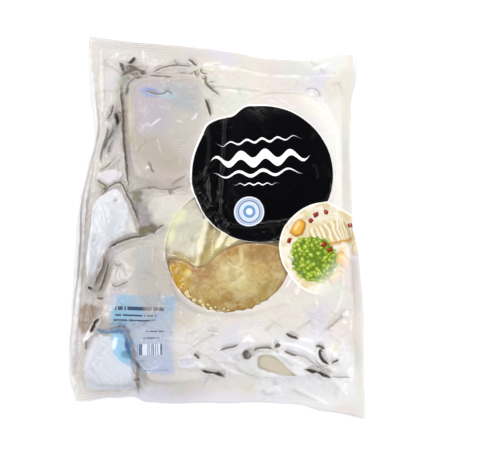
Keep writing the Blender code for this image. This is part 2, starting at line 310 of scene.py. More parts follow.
# Each fold: (points, half width, depth of the groove, rise of its lips, painted shade along it, with the
# brine's darkening in it)
folds = {
    # knot of creases at the top left loin's corner
    "knotStroke": ([(-79, 159), (-81, 154), (-85, 149)], 2.3, 1.0, 0.6, 0.92),
    "knotTick": ([(-93, 152), (-90, 146), (-88, 138)], 2.6, 1.0, 0.5, 0.88),
    "knotUpper": ([(-90, 144), (-83, 146), (-76, 143), (-70, 139), (-63, 133)], 3.6, 1.5, 0.7, 0.8),
    "knotLower": ([(-89, 132), (-84, 137), (-78, 141), (-72, 143)], 3.0, 1.2, 0.5, 0.82),
    "knotBack": ([(-65, 134), (-73, 131), (-79, 126), (-82, 119), (-85, 110)], 2.6, 1.0, 0.5, 0.72),
    "knotInner": ([(-90, 140), (-84, 139), (-78, 135), (-70, 135)], 2.2, 0.8, 0.4, 0.72),
    "topArc": ([(-63, 135), (-60, 138), (-56, 142), (-47, 147), (-39, 149), (-30, 148), (-22, 145)], 1.7,
        1.1, 0.5, 0.72),
    "topBranch": ([(-38, 149), (-41, 156)], 1.3, 0.7, 0.4, 0.55),
    "topTick": ([(-29, 156), (-25, 153), (-19, 147)], 1.7, 0.9, 0.5, 0.8),
    "topLow": ([(-65, 134), (-59, 135), (-50, 135), (-39, 134)], 1.5, 1.2, 0.5, 0.72),
    "topLowRight": ([(-41, 137), (-33, 139), (-27, 138), (-20, 136)], 1.4, 0.8, 0.5, 0.5),
    "cornerA": ([(-22, 143), (-20, 137), (-16, 135)], 1.6, 1.0, 0.7, 0.65),
    "cornerB": ([(-16, 145), (-14, 139), (-9, 137)], 1.5, 0.9, 0.7, 0.6),
    "cornerC": ([(-22, 134), (-16, 130), (-11, 125)], 1.5, 0.9, 0.6, 0.6),
    "downRight": ([(-14, 139), (-11, 131), (-10, 124), (-4, 117), (5, 109)], 1.7, 1.2, 0.6, 0.72),
    "downRightDot": ([(-6, 129), (-3, 126)], 1.7, 0.8, 0.4, 0.7),
    "downRightLow": ([(-11, 110), (-8, 102), (-5, 90)], 1.7, 1.3, 0.5, 0.9),
    "blueFold": ([(-69, 116), (-61, 114), (-55, 112), (-48, 112), (-44, 115), (-37, 108)], 1.3, 0.5, 0.3,
        0.7),
    # down the left side
    "pinchUpper": ([(-105, 94), (-99, 100), (-96, 110)], 1.6, 1.3, 0.8, 0.8),
    "pinchSpot": ([(-95, 101), (-93, 94), (-92, 86)], 2.8, 1.6, 0.8, 1.0),
    "sideLong": ([(-103, 93), (-103, 82), (-106, 70), (-108, 57), (-107, 50)], 1.2, 1.2, 0.7, 0.65),
    "sideInner": ([(-95, 88), (-98, 82), (-103, 74), (-106, 64)], 1.4, 1.1, 0.6, 0.75),
    "sideShort": ([(-100, 70), (-101, 59)], 1.0, 0.8, 0.5, 0.5),
    "longCrease": ([(-86, 136), (-89, 122), (-87, 102), (-86, 79), (-83, 56), (-80, 35), (-75, 14)], 1.8,
        1.8, 0.6, 0.75),
    "diagonal": ([(-112, 45), (-100, 49), (-88, 58)], 1.3, 1.2, 0.9, 0.65),
    "roofInner": ([(-112, 38), (-99, 28)], 1.5, 1.2, 0.5, 0.7),
    "roof": ([(-114, 13), (-102, 26), (-92, 31), (-85, 29), (-79, 18), (-72, 3), (-66, -14)], 1.5, 1.8, 0.5,
        0.8),
    "pieceLeft": ([(-115, 16), (-115, -8), (-119, -33), (-119, -60)], 1.1, 0.9, 0.4, 0.35),
    "mark": ([(-93, 13), (-88, 14)], 0.9, 0.5, 0.3, 0.5),
    "hook": ([(-56, -18), (-53, -12), (-44, -7)], 1.6, 1.2, 0.5, 0.8),
    "centreTop": ([(-99, -33), (-93, -28), (-81, -22), (-72, -19), (-62, -17), (-55, -14)], 1.6, 1.8, 0.5,
        0.85),
    "doubleA": ([(-99, -32), (-100, -43), (-106, -57), (-109, -63)], 1.2, 1.3, 0.4, 0.7),
    "doubleB": ([(-95, -37), (-98, -51), (-103, -65), (-106, -71)], 1.3, 1.5, 0.4, 0.72),
    "endSpotA": ([(-117, -62), (-109, -64)], 2.0, 1.2, 0.6, 0.95),
    "endSpotB": ([(-106, -72), (-99, -73)], 1.6, 1.1, 0.6, 0.75),
    "smileUpper": ([(-89, -41), (-86, -46), (-80, -44)], 1.3, 0.7, 0.5, 0.55),
    "smileLower": ([(-91, -60), (-86, -64), (-78, -61), (-74, -58)], 1.3, 0.8, 0.6, 0.6),
    "leftFold": ([(-103, -88), (-107, -96), (-112, -105)], 1.7, 1.3, 1.0, 0.95),
    "leftFoldEnd": ([(-115, -109), (-116, -119)], 1.2, 0.9, 0.5, 0.55),
    "panelTuck": ([(-103, -100), (-93, -100), (-80, -99), (-74, -106), (-71, -118)], 1.4, 1.2, 0.5, 0.4),
    "notchCrease": ([(-72, -108), (-70, -124), (-68, -134), (-69, -146), (-68, -155), (-66, -161)], 1.6,
        1.5, 0.6, 0.6),
    # across the middle
    "crossMid": ([(-77, 24), (-66, 25), (-57, 26), (-51, 25), (-39, 25), (-31, 27), (-22, 27)], 1.4, 1.2,
        0.4, 0.55),
    "crossDiagonal": ([(-26, 38), (-42, 28)], 1.4, 0.9, 0.4, 0.4),
    "crossDown": ([(-43, 25), (-40, 18)], 1.4, 0.8, 0.3, 0.62),
    "crossMark": ([(-62, 50), (-59, 46), (-57, 42), (-54, 38)], 1.8, 0.9, 0.7, 0.6),
    "streakUpper": ([(-42, 71), (-24, 71)], 1.6, 0.5, 0.4, 0.2),
    "streakLower": ([(-37, 62), (-26, 63)], 1.6, 0.5, 0.4, 0.2),
    # under the panel and at the bottom right
    "lensTick": ([(-19, -121), (-16, -123), (-13, -126)], 1.8, 0.9, 0.4, 0.85),
    "lensStroke": ([(-14, -134), (-10, -136), (-2, -138), (5, -140), (10, -142)], 1.9, 1.2, 0.5, 0.96),
    "bottomLine": ([(3, -119), (7, -117), (13, -115), (22, -112)], 1.2, 0.9, 0.4, 0.78),
    "bottomSpot": ([(25, -116), (27, -121), (29, -126)], 4.2, 1.4, 0.6, 0.88),
    "bottomArc": ([(31, -119), (35, -116), (40, -115), (46, -115), (51, -117)], 1.4, 0.9, 0.4, 0.78),
    "bottomDot": ([(50, -115), (53, -113), (56, -112)], 2.4, 0.8, 0.4, 0.85),
    "bottomFaint": ([(54, -114), (61, -119), (76, -123), (86, -130), (108, -140)], 1.2, 0.7, 0.5, 0.4),
    "bottomDashA": ([(59, -102), (64, -105), (72, -108)], 1.7, 0.8, 0.4, 0.92),
    "bottomDashB": ([(57, -117), (63, -120), (71, -122)], 1.4, 0.9, 0.5, 0.75),
    "hookTop": ([(84, -114), (89, -114), (95, -117)], 1.7, 0.9, 0.4, 0.85),
    "hookStem": ([(91, -114), (89, -121), (92, -126), (98, -131)], 2.0, 1.3, 0.6, 0.97),
    "bottomDashC": ([(98, -129), (106, -126)], 1.5, 0.7, 0.4, 0.8),
    "bottomStroke": ([(73, -133), (79, -134), (85, -136), (91, -139), (96, -141), (102, -142)], 2.1, 1.3,
        0.6, 0.97),
    "bottomTrail": ([(98, -141), (108, -142), (120, -142)], 1.0, 0.6, 0.4, 0.4),
    "smear": ([(-8, -101), (4, -102)], 1.4, 0.6, 0.4, 0.3),
    "underPicture": ([(72, -81), (86, -91), (111, -91)], 2.0, 0.9, 0.8, 0.12),
    "marginPuckerA": ([(38, -152), (44, -157), (52, -156)], 1.2, 0.6, 0.5, 0.15),
    "marginPuckerB": ([(62, -150), (74, -157), (92, -163)], 1.2, 0.6, 0.5, 0.15),
    "innerLoop": ([(-94, 76), (-99, 70), (-102, 60)], 1.1, 0.7, 0.5, 0.6),
    "cornerLoop": ([(88, 156), (89, 151), (93, 149), (97, 152)], 1.0, 0.5, 0.4, 0.22),
    "cornerLoopLow": ([(95, 148), (99, 143), (105, 143)], 1.2, 0.5, 0.4, 0.22),
    "rightFold": ([(79, 119), (87, 122), (92, 118), (94, 108)], 1.4, 0.7, 0.5, 0.3),
    # folds that cross the printed disc
    "discGlint": ([(57, 15), (77, 37)], 0.6, 0.3, 0.5, 0.0),
}
seamLines = {  # pressed lines along the left seal: as a fold, but drawn without kinks
    "seamOuter": ([(-119, 160), (-114, 115), (-111, 85), (-118, 47), (-124, 14), (-124, -19), (-125, -51),
        (-128, -83), (-129, -114), (-126, -150)], 1.1, 0.5, 0.3, 0.34),
    "seamInner": ([(-110, 85), (-115, 47), (-119, 14), (-120, -19), (-121, -51), (-122, -83), (-124, -114),
        (-122, -140)], 1.0, 0.6, 0.3, 0.24),
}
sheens = {  # raised ridges, some with a painted white highlight: (points, half width, rise, strength of the painted highlight)
    "loinA": ([(-58, 82), (-54, 85), (-50, 88)], 1.0, 0.8, 0.7),
    "loinB": ([(-23, 87), (-20, 89), (-18, 93)], 1.0, 0.8, 0.7),
    "loinC": ([(-36, 86), (-31, 85)], 1.0, 0.6, 0.5),
    "loinD": ([(-66, 80), (-62, 84), (-57, 80)], 0.9, 0.6, 0.35),
    "leftFold": ([(-102, -87), (-111, -100), (-118, -109)], 1.4, 1.5, 0.8),
    "crossGlint": ([(-62, 43), (-59, 44), (-55, 43)], 1.2, 0.6, 0.9),
    "discGlare": ([(85, 47), (88, 33)], 1.3, 1.0, 0.0),
    "creamA": ([(-18, -42), (-15, -24), (-8, -9), (-3, 3)], 2.2, 1.6, 0.0),
    "creamB": ([(-2, -29), (5, -17), (17, -12)], 1.8, 1.4, 0.0),
    "lens": ([(-32, -128), (-27, -124), (-20, -124), (-17, -129), (-22, -133), (-29, -132), (-32, -128)],
        1.3, 0.6, 0.25),
    "lensBelow": ([(2, -128), (10, -134), (24, -140)], 1.4, 0.7, 0.6),
    "cornerShine": ([(90, 145), (98, 147), (106, 152)], 1.4, 0.5, 0.7),
    "knotStreak": ([(-71, 165), (-71, 160), (-70, 153)], 1.3, 0.5, 0.7),
    "knotLight": ([(-70, 149), (-60, 148), (-54, 150)], 2.2, 0.4, 0.4),
    "pieceLeft": ([(-111, -8), (-114, -26), (-114, -52)], 2.2, 0.5, 0.7),
    "spotPuff": ([(24, -110), (28, -108), (33, -110)], 2.0, 0.8, 0.8),
    "strokeLight": ([(-17, -128), (-12, -132), (-6, -136)], 1.4, 0.6, 0.7),
    # painted highlights on the crumpled facets
    "facetSheenA": ([(54, -111), (70, -114), (86, -122), (96, -134)], 1.3, 0.9, 0.7),
    "facetSheenB": ([(48, -119), (64, -124), (78, -131)], 1.2, 0.8, 0.7),
    "facetSheenC": ([(72, -108), (84, -110)], 1.6, 0.8, 0.6),
    "hookLight": ([(97, -117), (102, -122), (101, -126)], 1.5, 0.9, 0.7),
    "marginA": ([(44, -155), (52, -150), (58, -157)], 1.6, 0.7, 0.5),
    "marginB": ([(70, -150), (84, -158), (98, -165)], 1.6, 0.7, 0.5),
}
tuckForm = {  # in half widths of the fold
    "ramp": 4.0,
    "drop": 0.75,
    "leastDrop": 1.2,  # mm, the sharpest lip that the mesh can carry
    "foot": 1.8,
    "reach": 3.0,  # how far the fold's line is drawn either way
    "kinks": 0.14,  # mm
    "tip": 0.25,  # how narrow its ends are
    "uneven": (0.15, 0.35),  # share by which its width varies, and how quickly along it
    "fade": 1.2,  # over which its line fades out sideways
    "hold": 0.3,  # how soon a crossing fold takes over
}
crumples = {
    "count": 240,
    "seed": 11,
    "length": (5.0, 22.0),
    "halfWidth": (0.8, 1.7),
    "height": (0.1, 0.55),
    "turn": 0.6,  # radians either way from straight downhill
    # painted shade along each crumple
    "foldShade": 0.05,
    "lip": 0.7,  # share of its height
    "bow": 0.3,  # share of half its length, either way
    "kinks": 0.3,  # mm
    "onFlat": 0.12,  # chances of one there, against 1 on the steepest film
    "onSeal": 0.05,
    "sealFrom": -4,  # mm past the seal's inner edge
    "whereCalm": 0.15,
}
calmPlaces = [  # (centre, radius, how much of the crumpling is left): where the film lies smooth
    ((40.0, 40.0), 66.0, 0.08),
    ((96.0, -30.0), 34.0, 0.3),
    ((60.0, 128.0), 40.0, 0.35),
    ((100.0, 90.0), 46.0, 0.35),
    ((-45.0, 75.0), 30.0, 0.55),
    ((14.0, -52.0), 46.0, 0.25),
]
# Where the film clings to what is under it, and painted light and shade on the film: highlights, glare on
# creases, sheen on facets and shade in a pinch: (outline, softness, colour, strength)
wetPlacesAndPaintedLight = {
    "sealGrey": ([(-131, 172), (-122, 170), (-114, 118), (-110, 85), (-116, 47), (-121, 14), (-122, -19),
        (-123, -51), (-126, -114), (-124, -156), (-140, -158), (-140, 172)], 2.5, "#eeeef2", 0.75),
    "sealCream": ([(-113, 164), (-109, 164), (-106, 104), (-110, 102)], 1.2, "#f0e7d4", 0.6),
    "paleStrip": ([(-112, 150), (-94, 147), (-92, 109), (-103, 100), (-107, 112)], 6, "#ece6e6", 0.5),
    "greenStrip": ([(-92, 134), (-84, 132), (-87, 116), (-92, 106), (-97, 108), (-94, 122)], 3, "#a9ab97",
        0.7),
    "cornerBrown": ([(-91, 149), (-82, 148), (-72, 144), (-63, 135), (-72, 133), (-79, 122), (-85, 122),
        (-89, 136)], 1.6, "#86776a", 0.7),
    "cornerStraw": ([(-82, 121), (-75, 121), (-76, 112), (-82, 112)], 2, "#d8d2ab", 0.7),
    "tealPocket": ([(-100, 91), (-92, 90), (-95, 76), (-103, 78)], 2.5, "#7b8d8b", 0.8),
    # painted shade, near black, in the pinch of the film
    "pinchShade": ([(-97, 102), (-91, 99), (-89, 91), (-93, 87), (-97, 93)], 1.4, "#221c1a", 0.95),
    "loinOuter": ([(-91, 116), (-82, 114), (-82, 84), (-85, 60), (-89, 62), (-90, 88)], 1.6, "#a0907b",
        0.75),
    "loinOuterHigh": ([(-92, 135), (-84, 133), (-82, 115), (-91, 117)], 1.6, "#98a08c", 0.75),
    "cornerCream": ([(-20, 140), (-8, 137), (-5, 124), (-14, 121), (-22, 131)], 1.5, "#dfd9c3", 0.6),
    "loinWhole": ([(-85, 133), (-17, 132), (-11, 107), (-13, 80), (-24, 48), (-36, 28), (-76, 27),
        (-82, 62)], 5, "#aea6a1", 0.55),
    "loinEdge": ([(-82, 114), (-75, 112), (-74, 82), (-76, 66), (-82, 68)], 1.8, "#c4bca3", 0.75),
    "loinLilac": ([(-77, 122), (-62, 124), (-50, 118), (-44, 96), (-47, 75), (-75, 77)], 7, "#b3a9b4", 0.6),
    "loinGrey": ([(-52, 124), (-24, 122), (-14, 100), (-20, 92), (-46, 100)], 6, "#a2a7aa", 0.7),
    "loinBlue": ([(-69, 118), (-54, 118), (-52, 109), (-60, 108), (-69, 112)], 1.2, "#8b9dc9", 0.8),
    "loinCyan": ([(-53, 117), (-38, 116), (-36, 107), (-52, 106)], 1.4, "#a9bcc6", 0.8),
    "loinBand": ([(-64, 133), (-24, 132), (-26, 124), (-64, 125)], 2, "#bfb1a2", 0.5),
    "loinOlive": ([(-81, 77), (-60, 74), (-33, 58), (-22, 39), (-51, 38), (-79, 61)], 7, "#a89f8b", 0.6),
    "loinPink": ([(-79, 58), (-51, 41), (-24, 36), (-26, 26), (-75, 26)], 5, "#bdb0a6", 0.6),
    "oliveCorner": ([(-76, 25), (-65, 25), (-64, 17), (-65, 11), (-74, 12)], 2.2, "#6c6852", 0.9),
    "paleTriangle": ([(-110, 45), (-84, 43), (-87, 33), (-100, 31), (-111, 37)], 1.3, "#e4dde8", 0.75),
    "oliveSliver": ([(-112, 37), (-104, 33), (-99, 28), (-108, 26)], 1.2, "#a39a72", 0.8),
    "pieceWhite": ([(-113, 12), (-96, 26), (-85, 23), (-79, 4), (-80, -16), (-95, -27), (-104, -41),
        (-111, -57), (-116, -29)], 1.6, "#d9dbe0", 0.9),
    "pieceGrey": ([(-100, 8), (-86, 6), (-82, -16), (-94, -26), (-102, -24)], 7, "#b9bac3", 0.5),
    "pieceLow": ([(-117, -16), (-105, -20), (-103, -44), (-109, -58), (-117, -58)], 3, "#b4b4bb", 0.75),
    "lilacBand": ([(-78, 16), (-64, 10), (-55, 3), (-54, -12), (-67, -16), (-73, 0)], 2, "#938b8f", 0.85),
    "oliveGap": ([(-70, -9), (-52, -7), (-51, -14), (-67, -19)], 1.6, "#6b6646", 0.95),
    "creamMiddle": ([(-55, 20), (-38, 22), (-26, 8), (-38, -8), (-52, -2)], 6, "#d9d4cb", 0.6),
    "brownBand": ([(-101, -35), (-96, -36), (-99, -57), (-105, -74), (-111, -72), (-106, -53)], 2,
        "#8b7f72", 0.7),
    "greyPlain": ([(-73, -27), (-58, -24), (-56, -67), (-72, -69)], 6, "#a9a9aa", 0.7),
    "warmPlain": ([(-58, -26), (-47, -28), (-43, -62), (-48, -84), (-62, -88), (-60, -60)], 5, "#aea49a",
        0.65),
    "tanPocket": ([(-122, -76), (-103, -77), (-105, -90), (-113, -104), (-122, -104)], 1.8, "#96826f",
        0.85),
    "lilacPocket": ([(-99, -66), (-82, -65), (-82, -82), (-97, -82)], 4, "#bfb3bf", 0.6),
    # painted highlight along the left fold
    "leftFoldHighlight": ([(-100, -91), (-103, -90), (-114, -104), (-119, -111), (-117, -112), (-106, -101)], 1.2,
        "#f6f4f4", 0.85),
    "tailWhite": ([(-105, -104), (-88, -108), (-85, -117), (-83, -128), (-72, -133), (-70, -146),
        (-73, -153), (-112, -154), (-117, -140), (-113, -118)], 1.4, "#cfd3dc", 0.92),
    "tuckLight": ([(-92, -103), (-78, -105), (-79, -116), (-74, -130), (-82, -131), (-89, -120)], 1.4,
        "#8fbfe0", 0.8),
    "tuckStreak": ([(-88, -107), (-84, -107), (-85, -115), (-89, -120), (-90, -113)], 1.0, "#e9f0f8", 0.75),
    "tuckTeal": ([(-82, -121), (-72, -119), (-70, -127), (-81, -126)], 1.0, "#5b8f9c", 0.7),
    "tuckDeep": ([(-106, -99), (-93, -101), (-74, -97), (-71, -112), (-69, -127), (-64, -135), (-70, -133),
        (-76, -120), (-79, -107), (-85, -104), (-101, -106)], 1.0, "#3b6b93", 0.85),
    "tuckInk": ([(-78, -106), (-75, -110), (-74, -124), (-79, -117)], 1.0, "#2f4f86", 0.7),
    "notchBand": ([(-70, -134), (-66, -134), (-64, -148), (-66, -162), (-70, -162), (-68, -147)], 1.2,
        "#a9b3b4", 0.75),
    "lensLilac": ([(-32, -129), (-28, -124), (-19, -124), (-16, -129), (-20, -133), (-29, -133)], 2.0,
        "#bdbdda", 0.7),
    "panelCool": ([(-60, -120), (-37, -121), (-37, -138), (-60, -138)], 4, "#a9b3cd", 0.5),
    "panelSide": ([(-38, -98), (-22, -99), (-21, -120), (-38, -119)], 6, "#e0d9dc", 0.5),
    "lowerCool": ([(-30, -94), (40, -96), (44, -112), (36, -148), (-30, -150)], 9, "#cfcfd2", 0.6),
    "cornerGreen": ([(82, 168), (124, 160), (124, 140), (84, 144)], 7, "#e7eae1", 0.65),
    "rightWhite": ([(74, 112), (122, 112), (122, -4), (106, -4), (101, 60), (84, 96)], 12, "#f3f1ea", 0.6),
    "lowMargin": ([(-104, -153), (60, -155), (66, -166), (20, -172), (-60, -169), (-118, -165)], 5,
        "#d4d5e4", 0.6),
    "lowerPink": ([(20, -98), (52, -98), (50, -108), (24, -112)], 5, "#e6dcd6", 0.6),
    "lowerWhite": ([(50, -104), (112, -106), (124, -130), (124, -172), (30, -162), (36, -142), (52, -120)],
        7, "#dfdfe1", 0.8),
    "beigeSliver": ([(36, -133), (36, -124), (41, -120), (50, -121), (57, -128), (66, -136), (71, -139),
        (60, -139), (45, -135)], 0.8, "#978c78", 0.9),
    "beigeInner": ([(39, -132), (38, -125), (42, -121), (49, -122), (57, -129), (67, -138), (59, -138),
        (46, -134)], 0.9, "#c3baa8", 0.9),
    # painted sheen: the grey-silver reflection of the crumpled facets
    "facetSheenA": ([(48, -109), (66, -110), (84, -118), (92, -128), (76, -124), (60, -116)], 2.5, "#d3d4d9",
        0.6),
    "facetSheenB": ([(58, -122), (74, -126), (98, -139), (88, -134), (72, -131)], 1.8, "#c9cacf", 0.6),
    "hookStraw": ([(97, -112), (106, -113), (107, -119), (99, -119)], 2.0, "#dfe0b8", 0.6),
    # over the window: fish and brine seen through the film, and painted glare along its creases
    "paleCurve": ([(-43, -33), (-40, -8), (-30, 6), (-14, 4), (-8, -8), (-16, -40), (-31, -34)], 3,
        "#d9d6c5", 0.7),
    "straw": ([(-43, -20), (-41, -2), (-30, 8), (-26, 2), (-34, -10), (-38, -24)], 3, "#dfe0ae", 0.55),
    # painted glare along the film's creases
    "creaseGlareA": ([(-19, -46), (-15, -44), (-7, -4), (-12, -3)], 1.4, "#ece3c6", 0.65),
    "creaseGlareB": ([(-2, -30), (4, -27), (14, -12), (8, -7)], 1.0, "#eee4c6", 0.8),
    "creaseGlareC": ([(6, -29), (24, -20), (25, -17), (12, -16)], 0.9, "#ebdfbc", 0.75),
}
placeRaggedness = [(1.6, 5.0, 3.7), (2.2, 13.0, 8.2)]  # how ragged those places are: (distance, size, seed)
facets = {  # flat, slightly tilted patches of stiff film: (size in mm, tilt)
    "large": (24.0, 0.045),
    "small": (11.0, 0.035),
}
facetArea = (280, 380)  # mm, a little more than the bag


def grainAt(x, y, size, seed):
    # smooth noise at each place, from about -1 to 1, with features of this size in mm
    grain = [noise.noise(Vector((a / size, b / size, seed))) for a, b in zip(x.ravel(), y.ravel())]
    return np.array(grain).reshape(x.shape)


def alongLine(points, spacing=2.0):
    # a smooth line through the points (Catmull-Rom)
    points = np.array(points, float)
    if len(points) == 2:
        return points
    padded = np.vstack([2 * points[0] - points[1], points, 2 * points[-1] - points[-2]])
    line = []
    for a, b, c, d in zip(padded, padded[1:], padded[2:], padded[3:]):
        steps = max(2, int(np.hypot(*(c - b)) / spacing))
        for t in np.arange(steps) / steps:
            line.append(0.5 * (2 * b + (c - a) * t + (2 * a - 5 * b + 4 * c - d) * t ** 2
                               + (3 * b - a - 3 * c + d) * t ** 3))
    line.append(points[-1])
    return np.array(line)


def wobble(line, rng, size):
    # a drawn line with the small kinks of a real crease
    if len(line) < 4:
        line = np.array([line[0] + (line[-1] - line[0]) * t for t in np.linspace(0, 1, 6)])
    way = np.gradient(line, axis=0)
    side = np.stack([-way[:, 1], way[:, 0]], 1) / np.maximum(np.hypot(*way.T), 1e-6)[:, None]
    return line + side * rng.normal(0, size, len(line))[:, None]


def nearLine(x, y, line, reach):
    # (indices near the line, distance with a minus sign on its right, place along it from 0 to 1)
    near = np.flatnonzero((x > line[:, 0].min() - reach) & (x < line[:, 0].max() + reach)
                          & (y > line[:, 1].min() - reach) & (y < line[:, 1].max() + reach))
    px, py = x[near], y[near]
    best = np.full(px.shape, 1e9)
    place = np.zeros(px.shape)
    side = np.ones(px.shape)
    lengths = np.hypot(*(np.diff(line, axis=0)).T)
    total = lengths.sum()
    start = 0.0
    for a, b, length in zip(line, line[1:], lengths):
        step = b - a
        share = ((px - a[0]) * step[0] + (py - a[1]) * step[1]) / max(step.dot(step), 1e-9)
        share = np.clip(share, 0, 1)
        away = np.hypot(px - a[0] - share * step[0], py - a[1] - share * step[1])
        closer = away < best
        best = np.where(closer, away, best)
        place = np.where(closer, (start + share * length) / total, place)
        side = np.where(closer, np.where(step[0] * (py - a[1]) >= step[1] * (px - a[0]), 1, -1), side)
        start += length
    return near, best * side, place


def creased(x, y, line, halfWidth, depth, rise):
    # a tuck in the film: it ramps up on the right of the line, drops over a lip, and runs out on the left
    ramp = tuckForm["ramp"] * halfWidth
    near, away, place = nearLine(x, y, line, ramp + 1)
    end = np.minimum(place, 1 - place)
    along = place * np.hypot(*np.diff(line, axis=0).T).sum() + 10 * line[0, 0]
    tip, (uneven, quick) = tuckForm["tip"], tuckForm["uneven"]
    width = halfWidth * (tip + (1 - tip) * ease(end * 3.5)) * (1 + uneven * np.sin(quick * along))
    drop = np.maximum(tuckForm["drop"] * width, tuckForm["leastDrop"])
    shape = np.where(away < 0, rise * np.clip(1 + away / ramp, 0, 1) ** 2,
                     np.where(away < drop, rise - (rise + depth) * ease(away / drop),
                              -depth * (1 - ease((away - drop) / (tuckForm["foot"] * width)))))
    return near, ease(end * 4) * shape, away / width, ease(end * 5)


def markFold(flat, near, across, strength):
    # each point keeps the fold that is strongest there: how far across it, and how dark its painted shade is
    strength = strength * ease((tuckForm["reach"] - np.abs(across)) / tuckForm["fade"])
    hold = strength * np.exp(-tuckForm["hold"] * across ** 2)
    wins = hold > flat["hold"][near]
    chosen = near[wins]
    flat["hold"][chosen] = hold[wins]
    flat["across"][chosen] = across[wins]
    flat["foldShade"][chosen] = strength[wins]


def relax(height, floorHeight, held):
    # a stretched film over what holds it up: each point goes to the mean of its neighbours, less the pull
    for _ in range(drape["steps"]):
        mean = height.copy()
        mean[1:-1, 1:-1] = (height[:-2, 1:-1] + height[2:, 1:-1] + height[1:-1, :-2] + height[1:-1, 2:]) / 4
        height = np.where(held, height, np.maximum(mean - drape["pull"], floorHeight))
    return height


def wetAndPaintedLightColours(x, y):
    # linear colour and strength of what shows through at each point, with painted highlights and shade, the
    # later places over the earlier
    layers = np.zeros((x.size, 4))
    ragged = sum(distance * grainAt(x, y, size, seed) for distance, size, seed in placeRaggedness)
    for outline, soft, colour, strength in wetPlacesAndPaintedLight.values():
        inside = insideBy(x, y, roundOff(outline, 1)) + ragged * min(soft, 3.0) / 2
        share = (strength * ease(0.5 + inside / (2 * soft))).ravel()[:, None]
        layers = layers * (1 - share) + np.array([*linear(colour)[:3], 1.0]) * share
    # painted white highlights along the sheens' ridges
    for points, halfWidth, rise, paintedGlare in sheens.values():
        near, away, place = nearLine(x.ravel(), y.ravel(), alongLine(points), 3 * halfWidth)
        width = halfWidth * (0.4 + 0.6 * ease(np.minimum(place, 1 - place) * 3))
        share = 0.75 * paintedGlare * np.exp(-(away / width) ** 2)
        layers[near] = layers[near] * (1 - share[:, None]) + share[:, None]
    layers[:, :3] /= np.maximum(layers[:, 3:], 1e-3)
    return layers


def facetsAt(x, y, size, tilt, rng):
    # heights of flat patches about this size, each tilted its own way
    wavyX = x + 0.25 * size * np.sin(y / size * 1.7 + rng.uniform(0, 6))
    wavyY = y + 0.25 * size * np.sin(x / size * 1.3 + rng.uniform(0, 6))
    columns, rows = (int(extent / size) + 3 for extent in facetArea)
    jitter = rng.uniform(0, 1, (rows, columns, 2))
    slopes = rng.normal(0, tilt, (rows, columns, 2))
    cellX, cellY = ((place + extent / 2) / size for place, extent in zip((wavyX, wavyY), facetArea))
    best = np.full(x.shape, 1e9)
    height = np.zeros(x.shape)
    for stepY in (-1, 0, 1):
        for stepX in (-1, 0, 1):
            column = np.clip(np.floor(cellX).astype(int) + stepX, 0, columns - 1)
            row = np.clip(np.floor(cellY).astype(int) + stepY, 0, rows - 1)
            dx = cellX - column - jitter[row, column, 0]
            dy = cellY - row - jitter[row, column, 1]
            away = dx * dx + dy * dy
            closer = away < best
            best = np.where(closer, away, best)
            tilted = size * (slopes[row, column, 0] * dx + slopes[row, column, 1] * dy)
            height = np.where(closer, tilted, height)
    return height


slack = {
    "weldReach": 12.0,  # mm from the seals in to where the film is free
    "scale": 10.0,  # the film settles at ten times its size, where the solver is steadier
    "frames": 30,
    "above": 0.6,  # mm, the film starts over what it settles on
    "below": 0.4,
    "belowSeal": 3.0,
    "gap": 0.4,
    "friction": 4.0,
    "cloth": {"quality": 6, "mass": 0.15, "tension_stiffness": 30.0, "compression_stiffness": 30.0,
              "shear_stiffness": 10.0, "bending_stiffness": 0.3, "tension_damping": 8.0,
              "compression_damping": 8.0, "air_damping": 2.0, "shrink_min": -0.03, "shrink_max": -0.03},
}


def settle(x, y, height, floorHeight, held):
    # lets a slightly slack film settle over the fish and the brine, as cloth; returns the moved points
    index = np.arange(x.size).reshape(x.shape)
    faces = gridFaces(index).tolist()
    gap = slack["gap"] * mm * slack["scale"]

    def makeSheet(name, z):
        points = np.stack([x, y, z], -1).reshape(-1, 3) * slack["scale"]
        return newObject(name, newMesh(name, points, [], faces))

    below = makeSheet("fishAndBrine", floorHeight - np.where(held, slack["belowSeal"], slack["below"]))
    below.modifiers.new("collision", "COLLISION")
    below.collision.thickness_outer = gap
    below.collision.cloth_friction = slack["friction"]
    above = makeSheet("settling", height + slack["above"])
    pins = above.vertex_groups.new(name="weld")
    pins.add(index[held].tolist(), 1.0, "REPLACE")
    cloth = above.modifiers.new("cloth", "CLOTH")
    for name, value in slack["cloth"].items():
        setattr(cloth.settings, name, value)
    cloth.settings.vertex_group_mass = "weld"
    cloth.collision_settings.use_collision = True
    cloth.collision_settings.collision_quality = 3
    cloth.collision_settings.distance_min = gap
    cloth.collision_settings.use_self_collision = False
    cloth.point_cache.frame_end = slack["frames"]
    scene = bpy.context.scene
    for step in range(1, slack["frames"] + 1):
        scene.frame_set(step)
    settled = above.evaluated_get(bpy.context.evaluated_depsgraph_get()).to_mesh()
    points = np.empty(x.size * 3)
    settled.vertices.foreach_get("co", points)
    scene.frame_set(1)
    for made in (above, below):
        bpy.data.objects.remove(made)
    points = points.reshape(*x.shape, 3) / mm / slack["scale"]
    return points[..., 0], points[..., 1], points[..., 2]


def halve(values):
    # every other row and column
    return values[::2, ::2]


def double(values):
    # back to the fine grid, on a smooth curve through the coarse points
    for _ in range(2):
        ends = np.vstack([2 * values[0] - values[1], values, 2 * values[-1] - values[-2]])
        between = (9 * (ends[1:-2] + ends[2:-1]) - ends[:-3] - ends[3:]) / 16
        fine = np.empty((2 * len(values) - 1,) + values.shape[1:])
        fine[::2] = values
        fine[1::2] = between
        values = fine.T
    return values


